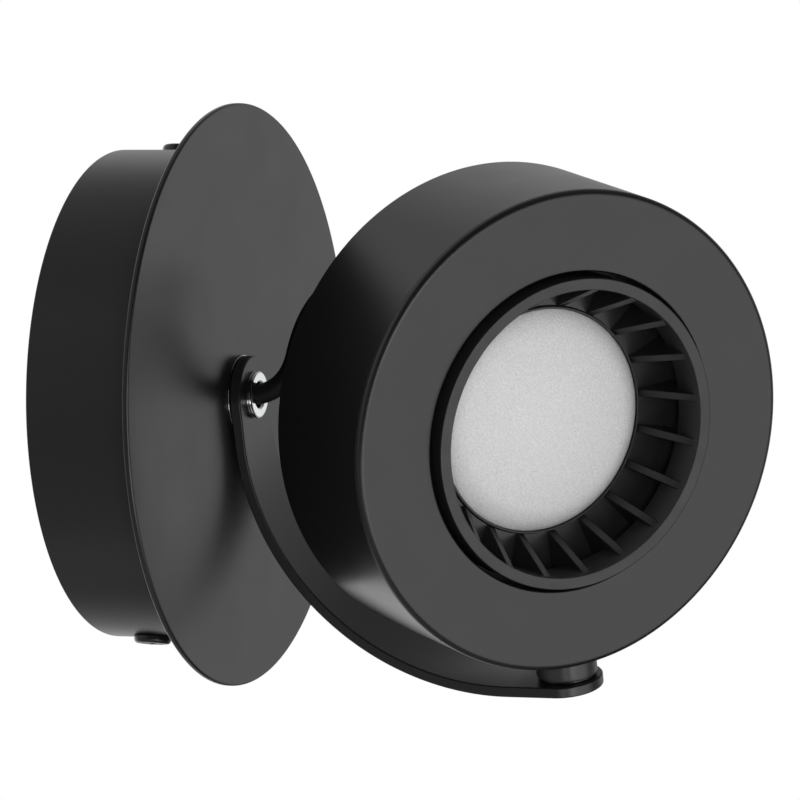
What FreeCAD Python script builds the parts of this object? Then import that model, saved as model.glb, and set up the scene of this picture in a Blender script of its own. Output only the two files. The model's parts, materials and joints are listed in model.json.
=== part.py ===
import FreeCAD, Part
import math
import os
from FreeCAD import Vector

# Pivoting spotlight wall light: a round canopy at the wall, a quarter-circle strip arm that
# swivels on a hollow bolt, and a short drum head that turns on a boss at the arm's lower end.
# Millimetres. The wall is the plane Y = 0 and the lamp stands out towards -Y; +Z is up.
# The origin lies on the wall at the centre of the canopy, on the axis of the hollow bolt.

# ---- driving dimensions -------------------------------------------------------------------

# canopy
CUP_RADIUS = 42.2
CUP_WALL = 1.0
DISC_RADIUS = 50.2
DISC_THICK = 1.1
DISC_FRONT = 22.0                 # the disc's front face stands this far off the wall
DISC_EDGE_ROUND = 0.35
FIXING_TURN = 25.2                # angle from the vertical of the line through the canopy screws

# wall bracket
PLATE_THICK = 1.5
PLATE_WIDTH = 18.0
PLATE_LENGTH = 76.0
CABLE_HOLE_RADIUS = 8.0
SLOT_SPACING = 60.0
SLOT_LENGTH = 12.0
SLOT_WIDTH = 4.5
EAR_WIDTH = 10.0
EAR_HEIGHT = 12.0
EAR_OUTER = 40.9
SCREW_OFF_WALL = 7.9

# fixings
SCREW_RADIUS = 1.5
SCREW_LENGTH = 7.0
SCREW_HEAD_RADIUS = 3.2
SCREW_HEAD_THICK = 1.3
DRIVE_WIDTH = 0.7
DRIVE_DEPTH = 0.7
EARTH_RADIUS = 2.0
EARTH_PLACE = Vector(18.5, 0, -4.0)
EARTH_WASHER_THICK = 0.8
EARTH_WASHER_RADIUS = 4.0
MODULE_SCREW = 1.25
MODULE_SCREW_HOLE = 1.5
COLLAR_RADIUS = 3.2

# driver and mains block inside the canopy, as opposite corners
DRIVER_LOW = (-25.0, -18.0, 9.5)
DRIVER_HIGH = (25.0, -3.0, 29.0)
TERMINAL_LOW = (-15.0, -13.5, -26.0)
TERMINAL_HIGH = (15.0, -2.0, -14.0)
POLE_PITCH = 10.0
POLE_COUNT = 3
WIRE_RADIUS = 0.9

# swivel at the canopy
BOLT_RADIUS = 3.0
BOLT_BORE = 2.2
BOLT_HEAD_RADIUS = 4.1
BOLT_HEAD_THICK = 1.0
BOLT_REAR = 14.5                  # the bolt's rear end stands this far off the wall
RING_RADIUS = 6.9
RING_THICK = 0.3
SPRING_WASHER_RADIUS = 5.6
SPRING_WASHER_THICK = 1.0
SPRING_WASHER_SPLIT = 0.8
LOCK_NUT_FLATS = 10.0
LOCK_NUT_THICK = 3.5
TIE_RADIUS = 3.4
TIE_THICK = 2.2

# arm
STRIP_THICK = 1.9
STRIP_WIDTH = 13.4
ARC_RADIUS = 43.3                 # of the strip's inner face
ARC_START_Z = -6.7
LOW_TAB_SHORT = 0.6               # the low tab's round end stops this much short of the pivot's own
GAP = 0.05                        # between a moving face and its neighbour
RUNNING = 0.05                    # radial clearance of a turning shaft

# head
PIVOT_OFF_WALL = 76.4
FACE_AHEAD = 9.3                  # from the pivot axis to the face
HEAD_Z = -4.0
HEAD_TURN = -39.0                 # turn about the pivot from straight ahead, at rest
DRUM_RADIUS = 41.5
DRUM_DEPTH = 27.3
DRUM_WALL = 1.2
DRUM_REAR_ROUND = 0.6
DRUM_FRONT_ROUND = 0.1
FACE_RADIUS = 41.5
FACE_THICK = 1.2
FACE_EDGE_ROUND = 1.1
HOLE_EDGE_ROUND = 0.35
FACE_HOLE = 27.9
GROOVE = 0.05                     # hairline joint between the drum and the face plate
SPIGOT_OUTER = 40.25
SPIGOT_WALL = 1.3
SPIGOT_END = 3.8

# light module
RING_OUTER = 26.85
RING_INNER = 24.8
RING_PROUD = 1.4
RING_END = 5.0
FLOOR_DEPTH = 10.0
FLOOR_THICK = 1.5
FLOOR_RADIUS = 35.8
FIN_COUNT = 20
FIN_THICK = 1.4
FIN_FRONT = -1.0
FIN_INNER = 19.8
LENS_RADIUS = 19.3
LENS_SHELL = 1.4
LENS_CAP_RADIUS = 80.0
LENS_CAP_REACH = 15.0
LENS_EDGE_SLOPE = 55.0
BOARD_THICK = 1.6
BOARD_DEPTH = 12.5
SINK_THICK = 2.5
SINK_RIBS = 4                     # on each side of the connector
SINK_RIB_PITCH = 5.6
SINK_RIB_THICK = 1.2
SINK_RIB_HEIGHT = 5.0
POST_CIRCLE = 32.5
POST_RADIUS = 2.8
POST_COUNT = 3

# pivot under the drum
BOSS_RADIUS = 5.3
STUD_RADIUS = 3.0
PIVOT_RADIUS = 2.0
PIVOT_HEAD_RADIUS = 3.5
PIVOT_HEAD_THICK = 1.0
PIVOT_WASHER_THICK = 0.4
PIVOT_WASHER_RADIUS = 5.0
BOSS_WASHER_THICK = 0.8
BOSS_NUT_THICK = 2.4
BOSS_NUT_FLATS = 8.0
SCREW_REACH = 6.0                 # how far the pivot screw goes into the boss

# lead
LEAD_RADIUS = 1.75
GROMMET_STEP = 1.2                # how far the grommet stands out behind the drum
GROMMET_NECK = 3.6
GROMMET_FLANGE = 5.2
GROMMET_LIP = 1.0
LEAD_SPLIT = 20.0                 # the free lead starts this far off the wall, in the bolt
# corners of the free lead's route, from the bolt to the run that enters the drum
LEAD_CORNERS = [(0.0, -30.0, 0.0), (1.1, -36.1, 14.7), (14.6, -40.4, 20.4), (25.7, -45.1, 9.5)]
LEAD_LAST_RUN = 13.0

# ---- places worked out from them ----------------------------------------------------------

CUP_FRONT = DISC_FRONT - DISC_THICK
STRIP_BACK = DISC_FRONT + RING_THICK + GAP
STRIP_FRONT = STRIP_BACK + STRIP_THICK
ARC_CENTRE_Y = -(STRIP_FRONT + ARC_RADIUS)
TAB_TOP = ARC_START_Z - ARC_RADIUS
TAB_BOTTOM = TAB_TOP - STRIP_THICK
PIVOT = Vector(0, -PIVOT_OFF_WALL, 0)
FACE_Y = -(PIVOT_OFF_WALL + FACE_AHEAD)
SINK_DEPTH = BOARD_DEPTH + BOARD_THICK
WASHER_TOP = TAB_TOP + GAP + PIVOT_WASHER_THICK
# a flat washer rests on the drum's curved inside by its two edges
NUT_SEAT = HEAD_Z - math.sqrt((DRUM_RADIUS - DRUM_WALL) ** 2 - PIVOT_WASHER_RADIUS ** 2) + 0.02
X_AXIS = Vector(1, 0, 0)
Y_AXIS = Vector(0, 1, 0)
Z_AXIS = Vector(0, 0, 1)


# ---- helpers ------------------------------------------------------------------------------

def rod(radius, start, direction, length):
    """A solid cylinder from a start point along a direction."""
    return Part.makeCylinder(radius, length, start, direction)


def tube(outer, inner, start, direction, length):
    """A cylinder with a concentric bore."""
    return rod(outer, start, direction, length).cut(rod(inner, start, direction, length))


def block(low, high):
    """A box between two opposite corners."""
    size = Vector(*high) - Vector(*low)
    return Part.makeBox(size.x, size.y, size.z, Vector(*low))


def hex_prism(across_flats, start, direction, length):
    """A hexagonal bar centred on a start point."""
    reach = across_flats / math.sqrt(3.0)
    corners = []
    for step in range(6):
        angle = math.radians(60.0 * step)
        corners.append(Vector(reach * math.cos(angle), reach * math.sin(angle), 0))
    prism = Part.Face(Part.makePolygon(corners + corners[:1])).extrude(Vector(0, 0, length))
    prism.Placement = FreeCAD.Placement(start, FreeCAD.Rotation(Z_AXIS, direction))
    return prism


def spun(points, centre_z=0.0):
    """Turn an outline of (radius, y) points a full circle about a line along Y."""
    corners = [Vector(radius, y, centre_z) for radius, y in points]
    face = Part.Face(Part.makePolygon(corners + corners[:1]))
    return face.revolve(Vector(0, 0, centre_z), Y_AXIS, 360.0)


def head_spun(points):
    """Turn an outline of (radius, depth behind the face) points about the drum's axis."""
    return spun([(radius, FACE_Y + depth) for radius, depth in points], HEAD_Z)


def rounded(shape, radius, wanted):
    """Round the edges that a test picks."""
    edges = [edge for edge in shape.Edges if wanted(edge)]
    return shape.makeFillet(radius, edges)


def is_circle(edge, radius, y):
    """Tell whether an edge is a full circle of this radius, square to Y, at this place."""
    if not isinstance(edge.Curve, Part.Circle):
        return False
    return abs(edge.Curve.Radius - radius) < 0.01 and abs(edge.Curve.Center.y - y) < 0.01


def turned(shape):
    """Turn a piece of the head, built straight ahead, to where it rests."""
    return shape.rotated(PIVOT, Z_AXIS, HEAD_TURN)


def swept_lead(name, points, radius):
    """Sweep a round lead along straight runs that tangent arcs join, and print its radii."""
    corners = [Vector(*point) for point in points]
    edges = []
    start = corners[0]
    length = 0.0
    for before, corner, after in zip(corners, corners[1:], corners[2:]):
        way_in = (corner - before).normalize()
        way_out = (after - corner).normalize()
        half_turn = way_in.getAngle(way_out) / 2.0
        shorter = min((corner - before).Length, (after - corner).Length)
        bend = 0.45 * shorter / math.tan(half_turn)
        cut_back = 0.45 * shorter
        arc_start = corner - way_in * cut_back
        arc_end = corner + way_out * cut_back
        to_centre = (way_out - way_in).normalize() * (bend / math.cos(half_turn))
        centre = corner + to_centre
        middle = centre - to_centre.normalize() * bend
        edges.append(Part.LineSegment(start, arc_start).toShape())
        edges.append(Part.Arc(arc_start, middle, arc_end).toShape())
        length += (arc_start - start).Length + 2.0 * half_turn * bend
        start = arc_end
        print(name, "bend radius", round(bend, 1))
    edges.append(Part.LineSegment(start, corners[-1]).toShape())
    length += (corners[-1] - start).Length
    path = Part.Wire(edges)
    circle = Part.Circle(corners[0], corners[1] - corners[0], radius).toShape()
    solid = path.makePipeShell([Part.Wire(circle)], True, False)
    expected = math.pi * radius ** 2 * length
    print(name, "length", round(length, 1), "volume ratio", round(solid.Volume / expected, 4))
    return solid


def fixing_direction():
    """The radial direction of the upper canopy screw."""
    angle = math.radians(FIXING_TURN)
    return Vector(math.sin(angle), 0, math.cos(angle))


# ---- canopy -------------------------------------------------------------------------------

def canopy_cup():
    """Round cup with a front wall, open towards the wall, with two side holes for screws."""
    inner = CUP_RADIUS - CUP_WALL
    cup = rod(CUP_RADIUS, Vector(), -Y_AXIS, CUP_FRONT)
    cup = cup.cut(rod(inner, Vector(), -Y_AXIS, CUP_FRONT - CUP_WALL))
    cup = cup.cut(rod(BOLT_RADIUS + 2 * RUNNING, Vector(), -Y_AXIS, CUP_FRONT))
    screw_hole = 1.7
    for side in (1, -1):
        start = Vector(0, -SCREW_OFF_WALL, 0)
        cup = cup.cut(rod(screw_hole, start, fixing_direction() * side, 2 * CUP_RADIUS))
    return cup


def front_disc():
    """Thin flange disc on the front of the cup."""
    disc = tube(DISC_RADIUS, BOLT_RADIUS + 2 * RUNNING, Vector(0, -CUP_FRONT, 0), -Y_AXIS, DISC_THICK)
    return rounded(disc, DISC_EDGE_ROUND, lambda edge: is_circle(edge, DISC_RADIUS, -DISC_FRONT)
                   or is_circle(edge, DISC_RADIUS, -CUP_FRONT))


def slot_cutter(centre_x):
    """Cutter for one wall slot, running along X."""
    radius = SLOT_WIDTH / 2
    half = SLOT_LENGTH / 2 - radius
    start_y = 1.0
    depth = PLATE_THICK + 2 * start_y
    cutter = block((centre_x - half, start_y - depth, -radius), (centre_x + half, start_y, radius))
    for offset in (-half, half):
        end = rod(radius, Vector(centre_x + offset, start_y, 0), -Y_AXIS, depth)
        cutter = cutter.fuse(end)
    return cutter


def wall_bracket():
    """Cross-shaped strap: a slotted bar along X and a bar whose bent ears take the screws."""
    bar = block((-PLATE_LENGTH / 2, -PLATE_THICK, -PLATE_WIDTH / 2),
                (PLATE_LENGTH / 2, 0, PLATE_WIDTH / 2))
    eared = block((-EAR_WIDTH / 2, -PLATE_THICK, -EAR_OUTER), (EAR_WIDTH / 2, 0, EAR_OUTER))
    for side in (1, -1):
        low = min(side * EAR_OUTER, side * (EAR_OUTER - PLATE_THICK))
        ear = block((-EAR_WIDTH / 2, -EAR_HEIGHT, low),
                    (EAR_WIDTH / 2, 0, low + PLATE_THICK))
        eared = eared.fuse(ear)
    eared = eared.common(rod(EAR_OUTER, Vector(), -Y_AXIS, EAR_HEIGHT))
    eared.rotate(Vector(), Y_AXIS, FIXING_TURN)
    hub = rod(PLATE_WIDTH * 0.75, Vector(), -Y_AXIS, PLATE_THICK)
    plate = bar.common(rod(EAR_OUTER, Vector(), -Y_AXIS, PLATE_THICK)).fuse(eared).fuse(hub)
    plate = plate.cut(rod(CABLE_HOLE_RADIUS, Vector(), -Y_AXIS, PLATE_THICK))
    for side in (1, -1):
        plate = plate.cut(slot_cutter(side * SLOT_SPACING / 2))
        start = Vector(0, -SCREW_OFF_WALL, 0)
        plate = plate.cut(rod(SCREW_RADIUS, start, fixing_direction() * side, 2 * CUP_RADIUS))
    plate = plate.cut(rod(EARTH_RADIUS, EARTH_PLACE, -Y_AXIS, PLATE_THICK))
    return plate.removeSplitter()


def pan_screw(shank, length, head_radius, head_thick, slot_turn=0.0):
    """Pan-head screw along +Z with its head's underside at the origin and a slot across it."""
    head = rod(head_radius, Vector(), Z_AXIS, head_thick)
    head = rounded(head, head_thick * 0.55, lambda edge: edge.BoundBox.ZMin > head_thick - 0.01
                   and edge.Closed)
    slot = block((-head_radius, -DRIVE_WIDTH / 2, head_thick - DRIVE_DEPTH),
                 (head_radius, DRIVE_WIDTH / 2, head_thick + 1.0))
    cross = slot.copy()
    cross.rotate(Vector(), Z_AXIS, 90.0)
    reach = rod(head_radius * 0.6, Vector(), Z_AXIS, head_thick)
    head = head.cut(slot.fuse(cross).common(reach))
    screw = head.fuse(rod(shank, Vector(0, 0, -length), Z_AXIS, length))
    screw.rotate(Vector(), Z_AXIS, slot_turn)
    return screw.removeSplitter()


def canopy_screws():
    """Two black pan-head screws that hold the cup to the bracket's ears."""
    screws = []
    for side, slot_turn in ((1, 20.0), (-1, 55.0)):
        screw = pan_screw(SCREW_RADIUS, SCREW_LENGTH, SCREW_HEAD_RADIUS, SCREW_HEAD_THICK, slot_turn)
        outwards = fixing_direction() * side
        place = outwards * CUP_RADIUS + Vector(0, -SCREW_OFF_WALL, 0)
        screw.Placement = FreeCAD.Placement(place, FreeCAD.Rotation(Z_AXIS, outwards))
        screws.append(screw)
    return Part.makeCompound(screws)


def earth_washer():
    """Washer under the earth screw's head."""
    start = EARTH_PLACE - Y_AXIS * PLATE_THICK
    return tube(EARTH_WASHER_RADIUS, EARTH_RADIUS + RUNNING, start, -Y_AXIS, EARTH_WASHER_THICK)


def earth_screw():
    """Brass screw that holds the earth wire to the bracket."""
    screw = pan_screw(EARTH_RADIUS - RUNNING, EARTH_WASHER_THICK + PLATE_THICK, 3.4, 2.2)
    start = EARTH_PLACE - Y_AXIS * (PLATE_THICK + EARTH_WASHER_THICK)
    screw.Placement = FreeCAD.Placement(start, FreeCAD.Rotation(Z_AXIS, -Y_AXIS))
    return screw


def led_driver():
    """Closed plastic case of the driver, above the bolt."""
    case = block(DRIVER_LOW, DRIVER_HIGH)
    return case.makeFillet(1.5, case.Edges)


def pole_places():
    """X places of the terminal block's poles."""
    return [POLE_PITCH * (pole - (POLE_COUNT - 1) / 2) for pole in range(POLE_COUNT)]


def terminal_block():
    """Three-pole mains block with a wire way through each pole and wells for its screws."""
    body = block(TERMINAL_LOW, TERMINAL_HIGH)
    middle_y = (TERMINAL_LOW[1] + TERMINAL_HIGH[1]) / 2
    wire_way = 2.2
    for x in pole_places():
        start = Vector(x, middle_y, TERMINAL_LOW[2])
        body = body.cut(rod(wire_way, start, Z_AXIS, TERMINAL_HIGH[2] - TERMINAL_LOW[2]))
        for z in terminal_screw_heights():
            body = body.cut(rod(2.1, Vector(x, TERMINAL_LOW[1], z), Y_AXIS, 4.0))
    return body


def terminal_screw_heights():
    """Z places of the two clamp screws of each pole."""
    return (TERMINAL_LOW[2] + 3.0, TERMINAL_HIGH[2] - 3.0)


def terminal_sleeves():
    """Brass sleeves in the block's wire ways."""
    middle_y = (TERMINAL_LOW[1] + TERMINAL_HIGH[1]) / 2
    sleeves = []
    for x in pole_places():
        start = Vector(x, middle_y, TERMINAL_LOW[2] + 1.0)
        sleeves.append(tube(2.2, 1.5, start, Z_AXIS, TERMINAL_HIGH[2] - TERMINAL_LOW[2] - 2.0))
    return Part.makeCompound(sleeves)


def terminal_screws():
    """Clamp screws, two to a pole."""
    screws = []
    for x in pole_places():
        for z in terminal_screw_heights():
            screw = rod(1.9, Vector(x, TERMINAL_LOW[1] + 1.0, z), Y_AXIS, 2.4)
            slot = block((x - 2.5, TERMINAL_LOW[1], z - 0.3), (x + 2.5, TERMINAL_LOW[1] + 1.8, z + 0.3))
            screws.append(screw.cut(slot))
    return Part.makeCompound(screws)


def driver_input_leads():
    """Two insulated wires from the terminal block up to the driver."""
    y = (TERMINAL_LOW[1] + TERMINAL_HIGH[1]) / 2
    block_top = TERMINAL_HIGH[2]
    case_bottom = DRIVER_LOW[2]
    first, second, _ = pole_places()
    live = [(first, y, block_top), (first, y, -8.0), (first - 2.5, y, -1.0), (first - 1.0, y, 4.5),
            (first - 1.0, y, case_bottom)]
    neutral = [(second, y, block_top), (second, y, -9.5), (-6.5, y, -3.0), (-6.5, y, case_bottom)]
    wires = [swept_lead("driver_input_lead", route, WIRE_RADIUS) for route in (live, neutral)]
    return Part.makeCompound(wires)


def earth_lead():
    """Insulated wire from the terminal block to the earth screw's washer."""
    y = (TERMINAL_LOW[1] + TERMINAL_HIGH[1]) / 2
    x = pole_places()[-1]
    on_plate = -(PLATE_THICK + WIRE_RADIUS + 0.2)
    z = EARTH_PLACE.z
    washer_side = EARTH_PLACE.x - EARTH_WASHER_RADIUS - GAP
    route = [(x, y, TERMINAL_HIGH[2]), (x, y, -9.5), (x, on_plate, z), (washer_side, on_plate, z)]
    return swept_lead("earth_lead", route, WIRE_RADIUS)


# ---- swivel at the canopy -----------------------------------------------------------------

def hollow_bolt():
    """Bright flanged bolt, drilled through for the lead."""
    head_back = STRIP_FRONT + GAP
    head_front = head_back + BOLT_HEAD_THICK
    bevel = 0.35
    return spun([(BOLT_BORE, -BOLT_REAR), (BOLT_RADIUS, -BOLT_REAR), (BOLT_RADIUS, -head_back),
                 (BOLT_HEAD_RADIUS, -head_back), (BOLT_HEAD_RADIUS, -(head_front - bevel)),
                 (BOLT_HEAD_RADIUS - bevel, -head_front), (BOLT_BORE + bevel, -head_front),
                 (BOLT_BORE, -(head_front - bevel))])


def ring_washer():
    """Bright ring between the disc and the arm."""
    start = Vector(0, -DISC_FRONT, 0)
    return tube(RING_RADIUS, BOLT_RADIUS + RUNNING, start, -Y_AXIS, RING_THICK)


def spring_washer():
    """Split friction washer inside the cup."""
    start = Vector(0, -(CUP_FRONT - CUP_WALL), 0)
    washer = tube(SPRING_WASHER_RADIUS, BOLT_RADIUS + RUNNING, start, Y_AXIS, SPRING_WASHER_THICK)
    half = SPRING_WASHER_SPLIT / 2
    return washer.cut(block((0, -CUP_FRONT, -half), (CUP_RADIUS, 0, half)))


def lock_nut():
    """Hexagon nut that clamps the bolt from inside the cup."""
    start = Vector(0, -(CUP_FRONT - CUP_WALL - SPRING_WASHER_THICK), 0)
    nut = hex_prism(LOCK_NUT_FLATS, start, Y_AXIS, LOCK_NUT_THICK)
    return nut.cut(rod(BOLT_RADIUS + RUNNING, start, Y_AXIS, LOCK_NUT_THICK))


def canopy_cable_tie():
    """Tie around the lead behind the bolt, which keeps a pull off the driver."""
    start = Vector(0, -(BOLT_REAR - 2 * GAP), 0)
    return tube(TIE_RADIUS, LEAD_RADIUS + RUNNING, start, Y_AXIS, TIE_THICK)


def lead_in_canopy():
    """The lead from the driver to the middle of the hollow bolt."""
    run_y = -6.2
    points = [(0, -LEAD_SPLIT, 0), (0, run_y, 0), (12.0, run_y, 0), (12.0, run_y, DRIVER_LOW[2])]
    return swept_lead("lead_in_canopy", points, LEAD_RADIUS)


# ---- arm ----------------------------------------------------------------------------------

def arm_strip():
    """Flat strip: a tab on the bolt, a quarter circle, and a level tab under the drum."""
    half = STRIP_WIDTH / 2
    top_tab = rod(half, Vector(0, -STRIP_BACK, 0), -Y_AXIS, STRIP_THICK)
    top_tab = top_tab.fuse(block((-half, -STRIP_FRONT, ARC_START_Z), (half, -STRIP_BACK, 0)))
    centre = Vector(-half, ARC_CENTRE_Y, ARC_START_Z)
    outer = ARC_RADIUS + STRIP_THICK
    bend = tube(outer, ARC_RADIUS, centre, X_AXIS, STRIP_WIDTH)
    bend = bend.common(block((-half, ARC_CENTRE_Y, ARC_START_Z - outer),
                             (half, ARC_CENTRE_Y + outer, ARC_START_Z)))
    end_y = PIVOT.y + LOW_TAB_SHORT
    low_tab = rod(half, Vector(0, end_y, TAB_BOTTOM), Z_AXIS, STRIP_THICK)
    low_tab = low_tab.fuse(block((-half, end_y, TAB_BOTTOM), (half, ARC_CENTRE_Y, TAB_TOP)))
    strip = top_tab.fuse(bend).fuse(low_tab).removeSplitter()
    strip = strip.cut(rod(BOLT_RADIUS + RUNNING, Vector(), -Y_AXIS, STRIP_FRONT + 1.0))
    strip = strip.cut(rod(PIVOT_RADIUS + RUNNING, Vector(0, PIVOT.y, TAB_BOTTOM - 1.0),
                          Z_AXIS, STRIP_THICK + 2.0))
    return strip


def rear_outlet():
    """The point on the grommet's outer face where the lead enters the drum, at rest."""
    point = Vector(0, FACE_Y + DRUM_DEPTH + GROMMET_STEP, HEAD_Z)
    turn = FreeCAD.Rotation(Z_AXIS, HEAD_TURN)
    return PIVOT + turn.multVec(point - PIVOT)


def head_lead():
    """The free stretch of the lead, from inside the bolt to the drum's rear grommet."""
    outlet = rear_outlet()
    backwards = FreeCAD.Rotation(Z_AXIS, HEAD_TURN).multVec(Y_AXIS)
    last_corner = outlet + backwards * LEAD_LAST_RUN
    points = [(0, -LEAD_SPLIT, 0)] + LEAD_CORNERS + [tuple(last_corner), tuple(outlet)]
    return swept_lead("head_lead", points, LEAD_RADIUS)


# ---- head: shells -------------------------------------------------------------------------

def drum_shell():
    """Closed-back drum, with a hole for the grommet and one for the boss's stud."""
    inner = DRUM_RADIUS - DRUM_WALL
    front = FACE_THICK + GROOVE
    shell = head_spun([(0, DRUM_DEPTH), (DRUM_RADIUS, DRUM_DEPTH), (DRUM_RADIUS, front),
                       (inner, front), (inner, DRUM_DEPTH - DRUM_WALL), (0, DRUM_DEPTH - DRUM_WALL)])
    shell = rounded(shell, DRUM_REAR_ROUND,
                    lambda edge: is_circle(edge, DRUM_RADIUS, FACE_Y + DRUM_DEPTH))
    shell = rounded(shell, DRUM_FRONT_ROUND,
                    lambda edge: is_circle(edge, DRUM_RADIUS, FACE_Y + front))
    shell = shell.cut(rod(GROMMET_NECK, Vector(0, FACE_Y, HEAD_Z), Y_AXIS, DRUM_DEPTH + 1.0))
    shell = shell.cut(rod(STUD_RADIUS + RUNNING, PIVOT + Z_AXIS * (TAB_TOP), Z_AXIS, 20.0))
    return turned(shell)


def post_places():
    """Centres of the face plate's screw posts, at the face."""
    places = []
    for post in range(POST_COUNT):
        angle = math.radians(90.0 + 360.0 * post / POST_COUNT)
        x = POST_CIRCLE * math.cos(angle)
        z = HEAD_Z + POST_CIRCLE * math.sin(angle)
        places.append(Vector(x, FACE_Y, z))
    return places


def face_plate():
    """Flat ring-shaped front with a spigot that fits the drum and three screw posts."""
    plate = head_spun([(FACE_HOLE, 0), (FACE_RADIUS, 0), (FACE_RADIUS, FACE_THICK),
                       (SPIGOT_OUTER, FACE_THICK), (SPIGOT_OUTER, SPIGOT_END),
                       (SPIGOT_OUTER - SPIGOT_WALL, SPIGOT_END), (SPIGOT_OUTER - SPIGOT_WALL, FACE_THICK),
                       (FACE_HOLE, FACE_THICK)])
    plate = rounded(plate, FACE_EDGE_ROUND, lambda edge: is_circle(edge, FACE_RADIUS, FACE_Y))
    plate = rounded(plate, HOLE_EDGE_ROUND, lambda edge: is_circle(edge, FACE_HOLE, FACE_Y))
    for place in post_places():
        start = place + Y_AXIS * (FACE_THICK / 2)
        plate = plate.fuse(rod(POST_RADIUS, start, Y_AXIS, FLOOR_DEPTH - FACE_THICK / 2))
    for place in post_places():
        plate = plate.cut(rod(MODULE_SCREW, place + Y_AXIS * 3.0, Y_AXIS, FLOOR_DEPTH))
    return turned(plate.removeSplitter())


# ---- head: light module -------------------------------------------------------------------

def cooling_fin():
    """One upright fin between the floor and the ring, its front edge sloping inwards."""
    outline = [(FIN_INNER, FLOOR_DEPTH + 0.2), (FIN_INNER, FLOOR_DEPTH - 0.3),
               (RING_INNER + 0.4, FIN_FRONT), (RING_OUTER - 0.1, FIN_FRONT),
               (RING_OUTER - 0.1, FLOOR_DEPTH + 0.2)]
    corners = [Vector(radius, FACE_Y + depth, HEAD_Z - FIN_THICK / 2) for radius, depth in outline]
    face = Part.Face(Part.makePolygon(corners + corners[:1]))
    return face.extrude(Z_AXIS * FIN_THICK)


def module_frame():
    """Moulded ring, fins and floor in one piece, with collars for the three screws."""
    ring = head_spun([(RING_INNER, -RING_PROUD), (RING_OUTER, -RING_PROUD), (RING_OUTER, RING_END),
                      (RING_INNER, RING_END)])
    ring = rounded(ring, 0.3, lambda edge: is_circle(edge, RING_OUTER, FACE_Y - RING_PROUD)
                   or is_circle(edge, RING_INNER, FACE_Y - RING_PROUD))
    floor_end = FLOOR_DEPTH + FLOOR_THICK
    floor = head_spun([(FIN_INNER, FLOOR_DEPTH), (FLOOR_RADIUS, FLOOR_DEPTH),
                       (FLOOR_RADIUS, floor_end), (FIN_INNER, floor_end)])
    fins = []
    for count in range(FIN_COUNT):
        fin = cooling_fin()
        fin.rotate(Vector(0, 0, HEAD_Z), Y_AXIS, 360.0 * count / FIN_COUNT)
        fins.append(fin)
    frame = ring.multiFuse([floor] + fins)
    for place in post_places():
        frame = frame.fuse(rod(COLLAR_RADIUS, place + Y_AXIS * floor_end, Y_AXIS, SINK_DEPTH - floor_end))
    for place in post_places():
        frame = frame.cut(rod(MODULE_SCREW_HOLE, place + Y_AXIS * FLOOR_DEPTH, Y_AXIS, FLOOR_DEPTH))
    return turned(frame.removeSplitter())


def lens_profile(offset):
    """Arcs of the dome at an inward offset, from its top to its edge, as (start, middle, end)."""
    cap = LENS_CAP_RADIUS - offset
    reach_angle = math.asin(LENS_CAP_REACH / LENS_CAP_RADIUS)
    edge_angle = math.radians(LENS_EDGE_SLOPE)
    edge = (LENS_RADIUS - LENS_CAP_REACH) / (math.sin(edge_angle) - math.sin(reach_angle))
    # centres of both arcs, as (radius, depth), with the dome's edge at the floor's depth
    edge_centre = (LENS_RADIUS - edge * math.sin(edge_angle), FLOOR_DEPTH + edge * math.cos(edge_angle))
    join = (edge_centre[0] + edge * math.sin(reach_angle), edge_centre[1] - edge * math.cos(reach_angle))
    cap_centre = (0.0, join[1] + LENS_CAP_RADIUS * math.cos(reach_angle))

    def at(centre, radius, angle):
        x = centre[0] + radius * math.sin(angle)
        return Vector(x, FACE_Y + centre[1] - radius * math.cos(angle), HEAD_Z)

    cap_arc = [at(cap_centre, cap, reach_angle * part) for part in (0.0, 0.5, 1.0)]
    mid_angle = (reach_angle + edge_angle) / 2
    small = edge - offset
    edge_arc = [at(edge_centre, small, angle) for angle in (reach_angle, mid_angle, edge_angle)]
    return cap_arc, edge_arc


def lens():
    """Frosted dome with a straight foot that stands on the board."""
    outer_cap, outer_edge = lens_profile(0.0)
    inner_cap, inner_edge = lens_profile(LENS_SHELL)
    foot_y = FACE_Y + BOARD_DEPTH
    foot_out = Vector(outer_edge[2].x, foot_y, HEAD_Z)
    foot_in = Vector(inner_edge[2].x, foot_y, HEAD_Z)
    edges = [Part.Arc(*outer_cap).toShape(), Part.Arc(*outer_edge).toShape(),
             Part.LineSegment(outer_edge[2], foot_out).toShape(),
             Part.LineSegment(foot_out, foot_in).toShape(),
             Part.LineSegment(foot_in, inner_edge[2]).toShape(),
             Part.Arc(inner_edge[2], inner_edge[1], inner_edge[0]).toShape(),
             Part.Arc(inner_cap[2], inner_cap[1], inner_cap[0]).toShape(),
             Part.LineSegment(inner_cap[0], outer_cap[0]).toShape()]
    face = Part.Face(Part.Wire(edges))
    return turned(face.revolve(Vector(0, 0, HEAD_Z), Y_AXIS, 360.0))


def lens_ring():
    """Thin dark ring that trims the lens's edge."""
    return turned(head_spun([(LENS_RADIUS + 0.05, FLOOR_DEPTH - 0.5), (FIN_INNER - 0.05, FLOOR_DEPTH - 0.5),
                             (FIN_INNER - 0.05, BOARD_DEPTH), (LENS_RADIUS + 0.05, BOARD_DEPTH)]))


def led_board():
    """Round white board under the lens."""
    start = Vector(0, FACE_Y + BOARD_DEPTH, HEAD_Z)
    return turned(rod(LENS_RADIUS, start, Y_AXIS, BOARD_THICK))


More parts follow.
